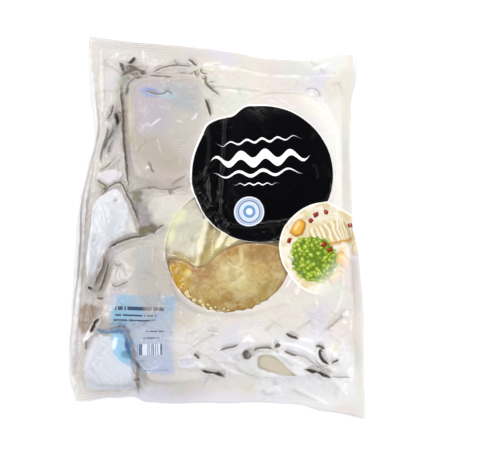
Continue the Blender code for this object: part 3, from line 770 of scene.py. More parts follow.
def makeFrontShape():
    v, u = np.meshgrid(spread("rows", "along"), spread("columns", "across"), indexing="ij")
    x, y = layOut(u, v)
    past = pastSeal(u, v)
    margin = marginHeight(u, v, x, y) + sheet["weldThick"]
    held = past < 0
    overBrine = margin - drape["dip"] + brineHeight(x, past)
    floorHeight = np.where(held, margin, np.maximum(filmOverFish(x, y), overBrine))
    height = relax(np.maximum(floorHeight, margin), floorHeight, held)
    print("film drawn over the fish, top at", round(float(height.max()), 2), "mm")
    settled = settle(*(halve(a) for a in (x, y, height, floorHeight, held)))
    free = ease(past / slack["weldReach"])
    movedX, movedY, movedZ = (a + (double(b) - a) * free for a, b in zip((x, y, height), settled))
    height = movedZ
    print("film settled, top at", round(float(height.max()), 2), "mm")

    flat = {"x": x.ravel(), "y": y.ravel(), "z": height.ravel(), "foldShade": np.zeros(x.size),
            "hold": np.zeros(x.size), "across": np.full(x.size, tuckForm["reach"])}
    flat["movedX"], flat["movedY"] = movedX.ravel(), movedY.ravel()
    rng = np.random.default_rng(crumples["seed"])
    calm = np.ones(x.shape)
    for centre, radius, left in calmPlaces:
        calm *= 1 - (1 - left) * ease(1.6 * (1 - np.hypot(x - centre[0], y - centre[1]) / radius) + 0.3)
    calm = calm.ravel()
    tuck = np.zeros(x.size)

    def press(line, halfWidth, depth, rise, foldShade):
        near, shape, across, share = creased(flat["x"], flat["y"], line, halfWidth, depth, rise)
        tuck[near] += shape
        markFold(flat, near, across, foldShade * share)

    for points, *form in folds.values():
        press(wobble(alongLine(points), rng, tuckForm["kinks"]), *form)
    for points, *form in seamLines.values():
        press(alongLine(points), *form)
    for points, halfWidth, rise, paintedGlare in sheens.values():
        near, away, place = nearLine(flat["x"], flat["y"], alongLine(points), 5 * halfWidth)
        ridge = np.exp(-(np.abs(away) / halfWidth) ** 1.5)
        tuck[near] += rise * ease(np.minimum(place, 1 - place) * 4 + 0.1) * ridge

    # small crumples, mostly straight down the slopes
    slopeY, slopeX = np.gradient(height)
    steep = np.hypot(slopeX, slopeY)
    onBag = crumples["onFlat"] + np.clip(steep, 0, 1)
    chance = np.where(past > crumples["sealFrom"], onBag, crumples["onSeal"]).ravel()
    chance = chance * (crumples["whereCalm"] + calm)
    spots = rng.choice(x.size, crumples["count"], p=chance / chance.sum())
    slopeX, slopeY = slopeX.ravel(), slopeY.ravel()
    for spot in spots:
        length = rng.uniform(*crumples["length"])
        halfWidth = rng.uniform(*crumples["halfWidth"])
        rise = rng.uniform(*crumples["height"]) * calm[spot]
        way = math.atan2(slopeY[spot], slopeX[spot]) + rng.uniform(-1, 1) * crumples["turn"]
        middle = np.array([flat["x"][spot], flat["y"][spot]])
        end = np.array([math.cos(way), math.sin(way)]) * length / 2
        bow = np.array([-end[1], end[0]]) * rng.uniform(-crumples["bow"], crumples["bow"])
        line = alongLine([middle - end, middle + bow, middle + end], 4.0)
        line = wobble(line, rng, crumples["kinks"])
        press(line, halfWidth, rise, crumples["lip"] * rise, crumples["foldShade"] * calm[spot])
    stiff = sum(facetsAt(flat["x"], flat["y"], size, tilt, rng) for size, tilt in facets.values())
    tuck += calm * ease(past.ravel() / 6 + 0.6) * stiff
    lowest = np.maximum(margin, filmOverFish(movedX, movedY)) - drape["dip"]  # no fold cuts into the fish
    flat["z"] = np.maximum(flat["z"] + tuck, lowest.ravel())
    flat["wetAndPaintedLight"] = wetAndPaintedLightColours(x, y)
    return u.ravel(), v.ravel(), flat


printDrift = (0.7, 21.0, (5.5, 9.5))  # how far the print strays everywhere: (mm, over what size, seeds)
printShifts = [  # where the film is drawn askew: (middle, reach, shift of the print)
    ((-8.0, 84.0), 11.0, (2.4, -2.2)),
    ((14.0, 92.0), 8.0, (-1.6, 3.4)),
    ((27.0, 101.0), 7.0, (0.2, -0.9)),
    ((-20.0, 8.0), 14.0, (-0.9, -0.8)),
    ((40.0, -23.0), 20.0, (0.0, -0.8)),
    ((70.0, -84.0), 16.0, (-1.2, 1.0)),
]


def printedPlace(x, y):
    # where on the flat sheet each point's print comes from
    stray, size, seeds = printDrift
    shifted = np.stack([x, y], -1) + stray * np.stack([grainAt(x, y, size, seed) for seed in seeds], -1)
    for middle, reach, shift in printShifts:
        away = np.hypot(x - middle[0], y - middle[1])
        shifted += np.exp(-(away / reach) ** 2)[:, None] * np.array(shift)
    return shifted


backForm = {
    "insets": [0.0, 0.015, 0.04, 0.08, 0.14, 0.24, 0.38, 0.56, 0.78],  # shares of the way to the middle
    "heights": [None, None, 0.5, 0.3, 0.3, 0.3, 0.3, 0.3, 0.3],  # None keeps to the margin
}


def makeFilmMesh(u, v, flat):
    # front sheet, then rings that close the bag underneath
    index = np.arange(u.size).reshape(sheet["along"] + 1, sheet["across"] + 1)
    faces = gridFaces(index)
    rim = np.concatenate([index[0, :-1], index[:-1, -1], index[-1, :0:-1], index[:0:-1, 0]])
    points = [np.stack([flat["movedX"], flat["movedY"], flat["z"]], 1)]
    rows = [faces]
    last, count = rim, u.size
    for inset, level in zip(backForm["insets"], backForm["heights"]):
        ringU = 0.5 + (u[rim] - 0.5) * (1 - inset)
        ringV = 0.5 + (v[rim] - 0.5) * (1 - inset)
        x, y = layOut(ringU, ringV)
        z = marginHeight(ringU, ringV, x, y) if level is None else np.full(x.shape, level)
        points.append(np.stack([x, y, z], 1))
        ring = np.arange(count, count + len(rim))
        rows.append(np.stack([last, ring, np.roll(ring, -1), np.roll(last, -1)], 1))
        last, count = ring, count + len(rim)
    faces = np.concatenate(rows).tolist() + [last[::-1].tolist()]
    points = np.concatenate(points)
    mesh = newMesh("filmBag", points, [], faces)
    mesh.validate()
    spare = (0, count - u.size)
    for name in ("foldShade", "across"):
        keepOnPoints(mesh, name, "FLOAT", np.pad(flat[name], spare))
    keepOnPoints(mesh, "wetAndPaintedLight", "FLOAT_COLOR", np.pad(flat["wetAndPaintedLight"], (spare, (0, 0))))
    corners = np.zeros(len(mesh.loops), int)
    mesh.loops.foreach_get("vertex_index", corners)
    flatSheet = mesh.uv_layers.new(name="flatSheet")  # place on the sheet as it was printed, in metres
    onSheet = points[:, :2].copy()
    onSheet[:u.size] = printedPlace(flat["x"], flat["y"])
    flatSheet.data.foreach_set("uv", (onSheet * mm)[corners].astype(np.float32).ravel())
    mesh.polygons.foreach_set("material_index", (np.arange(len(mesh.polygons)) >= len(rows[0])).astype(int))
    return mesh


# printed front film

milkInk = {  # white ink on the inside of the film, thinner towards the left; also the painted shade and highlight of the folds
    "cream": "#e0dad0",
    "patches": [("#dfd5d0", 0.0, 0.45, 0.6), ("#d9dbd2", 300.0, 0.5, 0.68), ("#dad6de", 700.0, 0.5, 0.68)],
    "patchSize": 45.0,  # mm
    "thinAt": -80.0,  # left of here the ink is thin
    "fullAt": 15.0,  # right of here it is full
    "thin": 0.34,
    "full": 0.86,
    "stretched": "#f4f2ef",  # painted highlight on the raised lip of a fold
    "foldShadeHalo": "#8b8178",  # painted shade beside a fold, with film that clings to wet fish there
    "shadow": "#26221f",  # the fold's own shadow line
}
panel = {  # pale blue block with plain rules and stripes
    "centre": (-62.4, -104.5),
    "half": (27.5, 33.5),
    "inks": [("#98b9d5", None), ("#aebbd2", (-52.0, -110.0, 26.0)), ("#86bcdc", (-88.0, -78.0, 20.0)),
             ("#b2bdd2", (-44.0, -134.0, 22.0))],  # (ink, middle and reach of its patch)
    "cover": 0.78,
    "soft": 2.5,
    "worn": (12.0, 0.3, 0.75, -0.35),  # (size of the patches, their noise from and to, ink lost in them)
    "rules": [  # (middle, half length, half height), each broken up into dashes
        ((-66.0, -82.5), 21.5, 1.6),
        ((-68.0, -88.3), 17.5, 0.75),
        ((-69.0, -92.6), 18.0, 0.75),
        ((-51.5, -102.4), 7.5, 0.5),
        ((-53.0, -108.2), 8.5, 0.5),
        ((-51.0, -135.0), 10.5, 0.45),
    ],
    "dash": (1.3, 3.0),  # mm across and up, the cells that are inked or left bare
    "dashGaps": 0.22,  # share of them that is left bare
    "ruleInk": "#3d5069",
    "stripes": {"centre": (-55.5, -117.5), "half": (11.0, 4.6), "wide": 0.62, "pale": "#d5deea",
                "dark": "#66748b"},
}
window = {  # left unprinted, so that the fish shows
    "centre": (11.3, -29.5),
    "radius": 55.5,
    "rim": 0.6,
    "rimInk": "#e6e0d2",
    "open": 0.05,
    "pearl": 5.5,  # mm, how far apart the rim's bumps are at the bottom
    "pearlHeight": 2.4,
    "pearlsFrom": (-62.0, -76.0),
}
disc = {"centre": (40.0, 38.0), "radius": 62.5, "ink": "#050508", "rimRadius": 63.3, "rimInk": "#f3f1ee",
        "rimShift": (-0.7, 0.7)}  # the white lies a little out of register
waveInk = "#fbfbfa"
waves = [  # plain waves on the disc: (middle, turn in degrees, half length, height, wave length, thickness)
    ((38.0, 52.0), 3.0, 44.0, 3.8, 22.0, 9.0),
    ((37.0, 68.0), 5.0, 36.0, 1.6, 14.0, 1.9),
    ((36.0, 38.5), 3.0, 38.0, 2.4, 22.0, 3.0),
    ((35.0, 28.5), 1.0, 18.0, 0.8, 8.0, 1.1),
]
badge = {  # plain rings: (radius, ink)
    "centre": (29.0, 4.0),
    "rings": [(13.2, "#e3e7ef"), (12.2, "#a9b4cb"), (9.8, "#4f6484"), (9.0, "#c9d5e6"), (5.6, "#6b93b8"),
              (3.0, "#dfe7f0")],
}
picture = {  # a made-up plate of food, in places measured from the picture's middle
    "centre": (97.0, -29.0),
    "radius": 40.5,
    "rim": 1.4,
    "rimInk": "#fbf8ee",
    "cream": ("#e4ddcc", "#d6c69c"),
    "creamPatches": (14.0, 0.42, 0.62),  # (their size in mm, their noise from and to)
    "warp": 5.0,  # mm, how uneven every outline is
    "warpSize": 9.0,  # mm, from one bulge to the next
    "slab": {"middle": (5.0, 14.0), "half": (20.0, 8.5), "turn": 0.36, "inks": ("#c3b07c", "#e9e1ca"),
             "edge": "#c08f42", "edgeShift": (1.5, -2.5), "flakes": 0.07},  # flakes 4.5 mm apart
    "wedges": [  # (middle, half, turn)
        ((-25.0, 17.0), (8.5, 6.0), 1.0),
        ((17.0, -12.0), (11.0, 7.0), -0.35),
        ((8.0, -27.0), (9.0, 6.0), 0.5),
        ((29.0, 2.0), (6.0, 4.5), 1.3),
    ],
    "wedge": {"shade": "#a8701f", "ink": "#dca544", "light": "#f0d08a"},
    "heap": {"middle": (-12.0, -10.0), "radius": 23.0, "pea": 3.3, "shade": "#5d7a1e", "ink": "#a5b83c",
             "light": "#dfe58c"},
    "cubes": [  # (middle, turn)
        ((-9.0, 29.0), 0.3), ((0.0, 32.0), 1.1), ((-14.0, 24.0), 0.8), ((24.0, 24.0), 0.2),
        ((-33.0, 6.0), 1.3), ((-3.0, 3.0), 0.9), ((2.0, -2.0), 0.5),
    ],
    "cubeHalf": (2.4, 1.9),
    "cubeInks": ("#6e1610", "#b23a22"),
    "fade": ((0.72, -0.69), 6.0, 32.0),  # (way, from, to): the print runs out into the milky film
}


def layInk(tree, film, ink, cover, share):
    # lays an ink over the film so far, which is a pair of colour and cover
    colour = addNode(tree, "ShaderNodeMix", {0: share, 6: film[0], 7: ink}, data_type="RGBA")
    opaque = addNode(tree, "ShaderNodeMix", {0: share, 2: film[1], 3: cover}, data_type="FLOAT")
    return colour, opaque


def discMask(tree, place, middle, radius, soft=0.3):
    # 1 inside a circle, 0 outside it
    away = addNode(tree, "ShaderNodeVectorMath", {0: place, 1: (*middle, 0)}, operation="DISTANCE")
    return addNode(tree, "ShaderNodeMapRange", {0: away, 1: radius - soft, 2: radius + soft, 3: 1.0, 4: 0.0},
                   interpolation_type="SMOOTHSTEP")


def boxMask(tree, place, middle, half, turn=0.0, rounding=0.3, soft=0.3):
    # 1 inside a turned rectangle with round corners, 0 outside it
    local = addNode(tree, "ShaderNodeMapping", {"Vector": place, "Location": (*middle, 0),
                    "Rotation": (0, 0, turn)}, vector_type="TEXTURE")
    folded = addNode(tree, "ShaderNodeVectorMath", {0: local}, operation="ABSOLUTE")
    past = addNode(tree, "ShaderNodeVectorMath", {0: folded, 1: (half[0] - rounding, half[1] - rounding, 0)},
                   operation="SUBTRACT")
    past = addNode(tree, "ShaderNodeVectorMath", {0: past, 1: (0, 0, 0)}, operation="MAXIMUM")
    away = addNode(tree, "ShaderNodeVectorMath", {0: past}, operation="LENGTH")
    return addNode(tree, "ShaderNodeMapRange", {0: away, 1: rounding - soft, 2: rounding + soft, 3: 1.0,
                   4: 0.0}, interpolation_type="SMOOTHSTEP")


def waveMask(tree, place, middle, turn, halfLength, height, waveLength, thick):
    # 1 on a wavy stroke that tapers to both ends
    turned = (0, 0, math.radians(turn))
    local = addNode(tree, "ShaderNodeMapping", {"Vector": place, "Location": (*middle, 0),
                    "Rotation": turned}, vector_type="TEXTURE")
    parts = addNode(tree, "ShaderNodeSeparateXYZ", {0: local})
    phase = addNode(tree, "ShaderNodeMath", {0: parts.outputs[0], 1: 2 * math.pi / waveLength},
                    operation="MULTIPLY")
    swing = addNode(tree, "ShaderNodeMath", {0: phase}, operation="SINE")
    away = addNode(tree, "ShaderNodeMath", {0: swing, 1: -height, 2: parts.outputs[1]},
                   operation="MULTIPLY_ADD")
    away = addNode(tree, "ShaderNodeMath", {0: away}, operation="ABSOLUTE")
    reach = addNode(tree, "ShaderNodeMath", {0: parts.outputs[0], 1: halfLength}, operation="DIVIDE")
    reach = addNode(tree, "ShaderNodeMath", {0: reach, 1: 2.0}, operation="POWER")
    past = addNode(tree, "ShaderNodeMath", {0: reach, 1: thick / 2, 2: away}, operation="MULTIPLY_ADD")
    return addNode(tree, "ShaderNodeMapRange", {0: past, 1: thick / 2 - 0.25, 2: thick / 2 + 0.25, 3: 1.0,
                   4: 0.0}, interpolation_type="SMOOTHSTEP")


def patchMask(tree, place, size, low, high, shift=0.0):
    # soft patches of about this size, from 0 to 1
    moved = addNode(tree, "ShaderNodeVectorMath", {0: place, 1: (shift, 0, 0)}, operation="ADD")
    grain = addNode(tree, "ShaderNodeTexNoise", {"Vector": moved, "Scale": 1 / size, "Detail": 2.0})
    return addNode(tree, "ShaderNodeMapRange", {0: grain, 1: low, 2: high}, interpolation_type="SMOOTHSTEP")


def printPanel(tree, film, place, across):
    reachedBy = boxMask(tree, place, panel["centre"], panel["half"], 0.0, panel["soft"], panel["soft"])
    *patches, lost = panel["worn"]
    worn = patchMask(tree, place, *patches)
    share = addNode(tree, "ShaderNodeMath", {0: worn, 1: lost, 2: 1.0}, operation="MULTIPLY_ADD")
    share = addNode(tree, "ShaderNodeMath", {0: share, 1: reachedBy}, operation="MULTIPLY")
    ink = linear(panel["inks"][0][0])
    for tone, (x, y, reach) in panel["inks"][1:]:
        patch = discMask(tree, place, (x, y), reach, reach * 0.6)
        ink = addNode(tree, "ShaderNodeMix", {0: patch, 6: ink, 7: linear(tone)}, data_type="RGBA")
    film = layInk(tree, film, ink, panel["cover"], share)
    step = addNode(tree, "ShaderNodeVectorMath", {0: place, 1: (*panel["dash"], 1)}, operation="SNAP")
    dashes = addNode(tree, "ShaderNodeTexWhiteNoise", {"Vector": step}, noise_dimensions="2D")
    dashes = addNode(tree, "ShaderNodeMath", {0: dashes, 1: panel["dashGaps"]}, operation="GREATER_THAN")
    for middle, halfLength, halfHeight in panel["rules"]:
        rule = boxMask(tree, place, middle, (halfLength, halfHeight))
        rule = addNode(tree, "ShaderNodeMath", {0: rule, 1: dashes}, operation="MULTIPLY")
        film = layInk(tree, film, linear(panel["ruleInk"]), filmFinish["fineInk"], rule)
    stripes = panel["stripes"]
    step = addNode(tree, "ShaderNodeMath", {0: across, 1: stripes["wide"]}, operation="SNAP")
    chosen = addNode(tree, "ShaderNodeTexWhiteNoise", {"W": step}, noise_dimensions="1D")
    dark = addNode(tree, "ShaderNodeMath", {0: chosen, 1: 0.5}, operation="GREATER_THAN")
    ink = addNode(tree, "ShaderNodeMix", {0: dark, 6: linear(stripes["pale"]), 7: linear(stripes["dark"])},
                  data_type="RGBA")
    block = boxMask(tree, place, stripes["centre"], stripes["half"])
    return layInk(tree, film, ink, filmFinish["fineInk"], block)


def printPicture(tree, film, place):
    # cream base, a pale flaky slab, potato wedges, a heap of peas and red cubes, in plain shapes
    way, low, high = picture["fade"]
    along = addNode(tree, "ShaderNodeVectorMath", {0: place, 1: (*way, 0)}, operation="DOT_PRODUCT")
    start = way[0] * picture["centre"][0] + way[1] * picture["centre"][1]
    fade = addNode(tree, "ShaderNodeMapRange", {0: along.outputs["Value"], 1: start + low, 2: start + high,
                   3: 1.0, 4: 0.0}, interpolation_type="SMOOTHSTEP")
    masks = []
    for rim in (picture["rim"], 0.0):
        mask = discMask(tree, place, picture["centre"], picture["radius"] + rim)
        masks.append(addNode(tree, "ShaderNodeMath", {0: mask, 1: fade}, operation="MULTIPLY"))
    film = layInk(tree, film, linear(picture["rimInk"]), filmFinish["flatInk"], masks[0])
    half = picture["warp"] / 2
    middle = picture["centre"]
    local = addNode(tree, "ShaderNodeVectorMath", {0: place, 1: (middle[0] + half, middle[1] + half, 0)},
                    operation="SUBTRACT")
    unevenness = addNode(tree, "ShaderNodeTexNoise", {"Vector": place, "Scale": 1 / picture["warpSize"],
                         "Detail": 2.0})
    local = addNode(tree, "ShaderNodeVectorMath", {0: unevenness.outputs["Color"],
                    1: (picture["warp"], picture["warp"], 0), 2: local}, operation="MULTIPLY_ADD")
    cream, shade = picture["cream"]
    ink = addNode(tree, "ShaderNodeMix", {0: patchMask(tree, place, *picture["creamPatches"]),
                  6: linear(cream), 7: linear(shade)}, data_type="RGBA")
    layers = []  # (ink, mask), from the bottom up
    slab = picture["slab"]
    lower = tuple(np.add(slab["middle"], slab["edgeShift"]))
    layers.append((linear(slab["edge"]), boxMask(tree, local, lower, slab["half"], slab["turn"], 3.5, 2.0)))
    along = addNode(tree, "ShaderNodeMapping", {"Vector": local, "Rotation": (0, 0, slab["turn"])},
                    vector_type="TEXTURE")
    flakes = addNode(tree, "ShaderNodeTexWave", {"Vector": along, "Scale": slab["flakes"], "Distortion": 3.0,
                     "Detail": 1.0})
    flesh = addNode(tree, "ShaderNodeMix", {0: flakes.outputs["Fac"], 6: linear(slab["inks"][0]),
                    7: linear(slab["inks"][1])}, data_type="RGBA")
    layers.append((flesh, boxMask(tree, local, slab["middle"], slab["half"], slab["turn"], 3.5, 1.0)))
    wedge = picture["wedge"]
    for spot, size, turn in picture["wedges"]:
        rounding, lift = size[1] - 0.5, size[1] * 0.28
        layers.append((linear(wedge["shade"]), boxMask(tree, local, spot, size, turn, rounding, 0.7)))
        raised = (spot[0] - 0.4 * lift, spot[1] + 0.6 * lift)
        inner = (size[0] - 1.4, size[1] - 1.4)
        layers.append((linear(wedge["ink"]), boxMask(tree, local, raised, inner, turn, rounding - 1.4, 1.6)))
        raised = (spot[0] - lift, spot[1] + 1.5 * lift)
        inner = (size[0] * 0.5, size[1] * 0.3)
        layers.append((linear(wedge["light"]), boxMask(tree, local, raised, inner, turn, inner[1], inner[1])))
    heap = picture["heap"]
    cells = addNode(tree, "ShaderNodeTexVoronoi", {"Vector": local, "Scale": 1 / heap["pea"],
                    "Randomness": 0.85})
    green = linear(heap["shade"])
    for tone, full, none in (("ink", 0.3, 0.62), ("light", 0.05, 0.3)):
        lit = addNode(tree, "ShaderNodeMapRange", {0: cells.outputs["Distance"], 1: full, 2: none, 3: 1.0,
                      4: 0.0})
        green = addNode(tree, "ShaderNodeMix", {0: lit, 6: green, 7: linear(heap[tone])}, data_type="RGBA")
    away = addNode(tree, "ShaderNodeVectorMath", {0: local, 1: (*heap["middle"], 0)}, operation="DISTANCE")
    bumpy = addNode(tree, "ShaderNodeMath", {0: cells.outputs["Distance"], 1: 6.0, 2: away.outputs["Value"]},
                    operation="MULTIPLY_ADD")
    rim = heap["radius"]
    heaped = addNode(tree, "ShaderNodeMapRange", {0: bumpy, 1: rim, 2: rim + 1.5, 3: 1.0, 4: 0.0})
    layers.append((green, heaped))
    shade, bright = (linear(tone) for tone in picture["cubeInks"])
    for spot, turn in picture["cubes"]:
        layers.append((shade, boxMask(tree, local, spot, picture["cubeHalf"], turn, 0.8, 0.5)))
        raised = (spot[0] - 0.5, spot[1] + 0.6)
        layers.append((bright, boxMask(tree, local, raised, (1.3, 0.9), turn, 0.6, 0.5)))
    for tone, mask in layers:
        ink = addNode(tree, "ShaderNodeMix", {0: mask, 6: ink, 7: tone}, data_type="RGBA")
    return layInk(tree, film, ink, filmFinish["flatInk"], masks[1])


filmFinish = {
    "roughness": 0.26,
    "ior": 1.5,
    "specular": (0.32, 0.12),  # on the milky film, and on the black ink
    "glossRoughness": 0.16,  # where the film is clear
    "glossIor": 1.4,
    "crinkle": (0.35, 0.15, 0.0006),  # (features to a mm, 2.9 mm apart; strength, height in metres)
    "lip": 0.0007,  # metres, the step in the film at a fold
    "solidInk": 0.99,  # share of what is under it that a full layer of ink hides
    "flatInk": 0.97,
    "fineInk": 0.9,
    "wetAndPaintedLightCover": 0.95,
    "edge": 0.4,  # mm either way, how soft the window's edge is
}
# core, beside and farEdge are painted shade along the fold, ridge a painted highlight on its lip
foldMarks = [  # (name, middle of the mark in half widths across the fold, its full and its last reach, most)
    ("core", 0.0, 0.35, 1.15, 1.0),
    ("beside", 0.4, 0.4, 2.4, 0.34),
    ("farEdge", -1.9, 0.0, 0.7, 0.16),
    ("ridge", -1.15, 0.0, 0.7, 0.25),
]


def makeFilmMaterial():
    # Nylon and polythene laminate, cast, printed inside: a milky, softly glossy film.
    made, tree = newMaterial("printedLaminateFilm", {})[:2]
    tree.nodes.clear()
    onSheet = addNode(tree, "ShaderNodeUVMap", uv_map="flatSheet")
    inMillimetres = {0: onSheet, 1: (1 / mm, 1 / mm, 1 / mm)}
    place = addNode(tree, "ShaderNodeVectorMath", inMillimetres, operation="MULTIPLY")
    parts = addNode(tree, "ShaderNodeSeparateXYZ", {0: place})

    milk = linear(milkInk["cream"])
    for tone, shift, low, high in milkInk["patches"]:
        patch = patchMask(tree, place, milkInk["patchSize"], low, high, shift)
        milk = addNode(tree, "ShaderNodeMix", {0: patch, 6: milk, 7: linear(tone)}, data_type="RGBA")
    cover = addNode(tree, "ShaderNodeMapRange", {0: parts.outputs[0], 1: milkInk["thinAt"],
                    2: milkInk["fullAt"], 3: milkInk["thin"], 4: milkInk["full"]},
                    interpolation_type="SMOOTHSTEP")
    film = printPanel(tree, (milk, cover), place, parts.outputs[0])
    # colours seen through the film, with the painted highlights, glare, sheen and shade
    wetAndPaintedLight = addNode(tree, "ShaderNodeAttribute", attribute_name="wetAndPaintedLight")
    shut = addNode(tree, "ShaderNodeMath", {0: film[1], 1: filmFinish["wetAndPaintedLightCover"]}, operation="MAXIMUM")
    film = layInk(tree, film, wetAndPaintedLight.outputs["Color"], shut, wetAndPaintedLight.outputs["Alpha"])

    # the window's edge is bumpy at the bottom
    away = addNode(tree, "ShaderNodeVectorMath", {0: place, 1: (*window["centre"], 0)}, operation="DISTANCE")
    pearls = addNode(tree, "ShaderNodeTexVoronoi", {"Vector": place, "Scale": 1 / window["pearl"]})
    low = addNode(tree, "ShaderNodeMapRange", {0: parts.outputs[1], 1: window["pearlsFrom"][0],
                  2: window["pearlsFrom"][1], 3: 0.0, 4: window["pearlHeight"]})
    bump = addNode(tree, "ShaderNodeMath", {0: 0.6, 1: pearls.outputs["Distance"]}, operation="SUBTRACT")
    away = addNode(tree, "ShaderNodeMath", {0: bump, 1: low, 2: away.outputs["Value"]},
                   operation="MULTIPLY_ADD")
    masks, soft = [], filmFinish["edge"]
    for radius in (window["radius"] + window["rim"], window["radius"]):
        masks.append(addNode(tree, "ShaderNodeMapRange", {0: away, 1: radius - soft, 2: radius + soft,
                             3: 1.0, 4: 0.0}, interpolation_type="SMOOTHSTEP"))
    film = layInk(tree, film, linear(window["rimInk"]), filmFinish["fineInk"], masks[0])
    # the window shows the colours under the film and the painted glare on its creases
    windowTints = addNode(tree, "ShaderNodeMath", {0: window["open"], 1: wetAndPaintedLight.outputs["Alpha"]},
                     operation="MAXIMUM")
    film = layInk(tree, film, wetAndPaintedLight.outputs["Color"], windowTints, masks[1])

    rimCentre = tuple(np.add(disc["centre"], disc["rimShift"]))
    white = discMask(tree, place, rimCentre, disc["rimRadius"])
    black = discMask(tree, place, disc["centre"], disc["radius"])
    inks = [(disc["rimInk"], white), (disc["ink"], black)]
    inks += [(waveInk, waveMask(tree, place, *wave)) for wave in waves]
    inks += [(tone, discMask(tree, place, badge["centre"], radius)) for radius, tone in badge["rings"]]
    for tone, mask in inks:
        film = layInk(tree, film, linear(tone), filmFinish["solidInk"], mask)
    film = printPicture(tree, film, place)

    # painted light and shade of the creases, over everything that is printed: a dark painted shadow line,
    # paler painted shade beside it and at the tuck's far edge, and a painted highlight on the lip
    # the folds' painted shade, with the brine's darkening in them, and where across each fold a point lies
    foldShade = addNode(tree, "ShaderNodeAttribute", attribute_name="foldShade").outputs["Fac"]
    across = addNode(tree, "ShaderNodeAttribute", attribute_name="across").outputs["Fac"]
    marks = {}
    for name, middle, full, none, most in foldMarks:
        away = addNode(tree, "ShaderNodeMath", {0: across, 1: -middle}, operation="ADD")
        away = addNode(tree, "ShaderNodeMath", {0: away}, operation="ABSOLUTE")
        mark = addNode(tree, "ShaderNodeMapRange", {0: away, 1: full, 2: none, 3: most, 4: 0.0},
                       interpolation_type="SMOOTHSTEP")
        marks[name] = addNode(tree, "ShaderNodeMath", {0: mark, 1: foldShade}, operation="MULTIPLY")
    dark = addNode(tree, "ShaderNodeMath", {0: marks["core"], 1: marks["beside"]}, operation="MAXIMUM")
    dark = addNode(tree, "ShaderNodeMath", {0: dark, 1: marks["farEdge"]}, operation="MAXIMUM")
    # painted highlight on each fold's raised lip
    film = layInk(tree, film, linear(milkInk["stretched"]), filmFinish["flatInk"], marks["ridge"])
    for tone, low, high in (("foldShadeHalo", 0.0, 0.6), ("shadow", 0.62, 0.98)):
        share = addNode(tree, "ShaderNodeMapRange", {0: dark, 1: low, 2: high})
        film = layInk(tree, film, linear(milkInk[tone]), 1.0, share)

    scale, strength, height = filmFinish["crinkle"]
    crinkle = addNode(tree, "ShaderNodeTexNoise", {"Vector": place, "Scale": scale, "Detail": 3.0,
                      "Distortion": 0.6})
    bump = addNode(tree, "ShaderNodeBump", {"Height": crinkle.outputs[0], "Strength": strength,
                   "Distance": height})
    lip = addNode(tree, "ShaderNodeMapRange", {0: across, 1: -0.9, 2: 0.5, 3: 0.5, 4: -0.5},
                  interpolation_type="SMOOTHSTEP")
    lip = addNode(tree, "ShaderNodeMath", {0: lip, 1: foldShade}, operation="MULTIPLY")
    bump = addNode(tree, "ShaderNodeBump", {"Height": lip, "Distance": filmFinish["lip"], "Normal": bump})
    onMilk, onBlack = filmFinish["specular"]
    shine = addNode(tree, "ShaderNodeMapRange", {0: black, 3: onMilk, 4: onBlack})
    shader = addNode(tree, "ShaderNodeBsdfPrincipled", {
        "Base Color": film[0], "Roughness": filmFinish["roughness"], "IOR": filmFinish["ior"],
        "Specular IOR Level": shine, "Normal": bump})
    gloss = addNode(tree, "ShaderNodeBsdfGlossy", {
        "Color": (1, 1, 1, 1), "Roughness": filmFinish["glossRoughness"], "Normal": bump})
    through = addNode(tree, "ShaderNodeBsdfTransparent")
    side = addNode(tree, "ShaderNodeNewGeometry").outputs["Backfacing"]
    outer = addNode(tree, "ShaderNodeMath", {0: 1.0, 1: side}, operation="SUBTRACT")
    mirror = addNode(tree, "ShaderNodeFresnel", {"IOR": filmFinish["glossIor"], "Normal": bump})
    mirror = addNode(tree, "ShaderNodeMath", {0: mirror, 1: outer}, operation="MULTIPLY")  # on its outside
    bare = addNode(tree, "ShaderNodeMixShader", {0: mirror, 1: through, 2: gloss})
    whole = addNode(tree, "ShaderNodeMixShader", {0: film[1], 1: bare, 2: shader})
    addNode(tree, "ShaderNodeOutputMaterial", {0: whole})
    return made


backFinish = {
    "tone": "#efece8",
    "roughness": 0.25,
    "alpha": 0.7,
    "crinkle": (180.0, 0.3, 0.0008),  # (features to a metre, 5.6 mm apart; strength, height in metres)
}


def makeBackFilmMaterial():
    # The same cast laminate without print: faintly milky and see-through, with a soft gloss.
    made, tree, shader = newMaterial("plainLaminateFilm", {
        "Base Color": linear(backFinish["tone"]), "Roughness": backFinish["roughness"],
        "Alpha": backFinish["alpha"]})
    scale, strength, height = backFinish["crinkle"]
    place = addNode(tree, "ShaderNodeTexCoord").outputs["Object"]
    crinkle = addNode(tree, "ShaderNodeTexNoise", {"Vector": place, "Scale": scale, "Detail": 3.0})
    bump = addNode(tree, "ShaderNodeBump", {"Height": crinkle.outputs[0], "Strength": strength,
                   "Distance": height})
    tree.links.new(bump.outputs[0], shader.inputs["Normal"])
    return made


# ribs pressed into the seals, and air bubbles under the window, both by Geometry Nodes

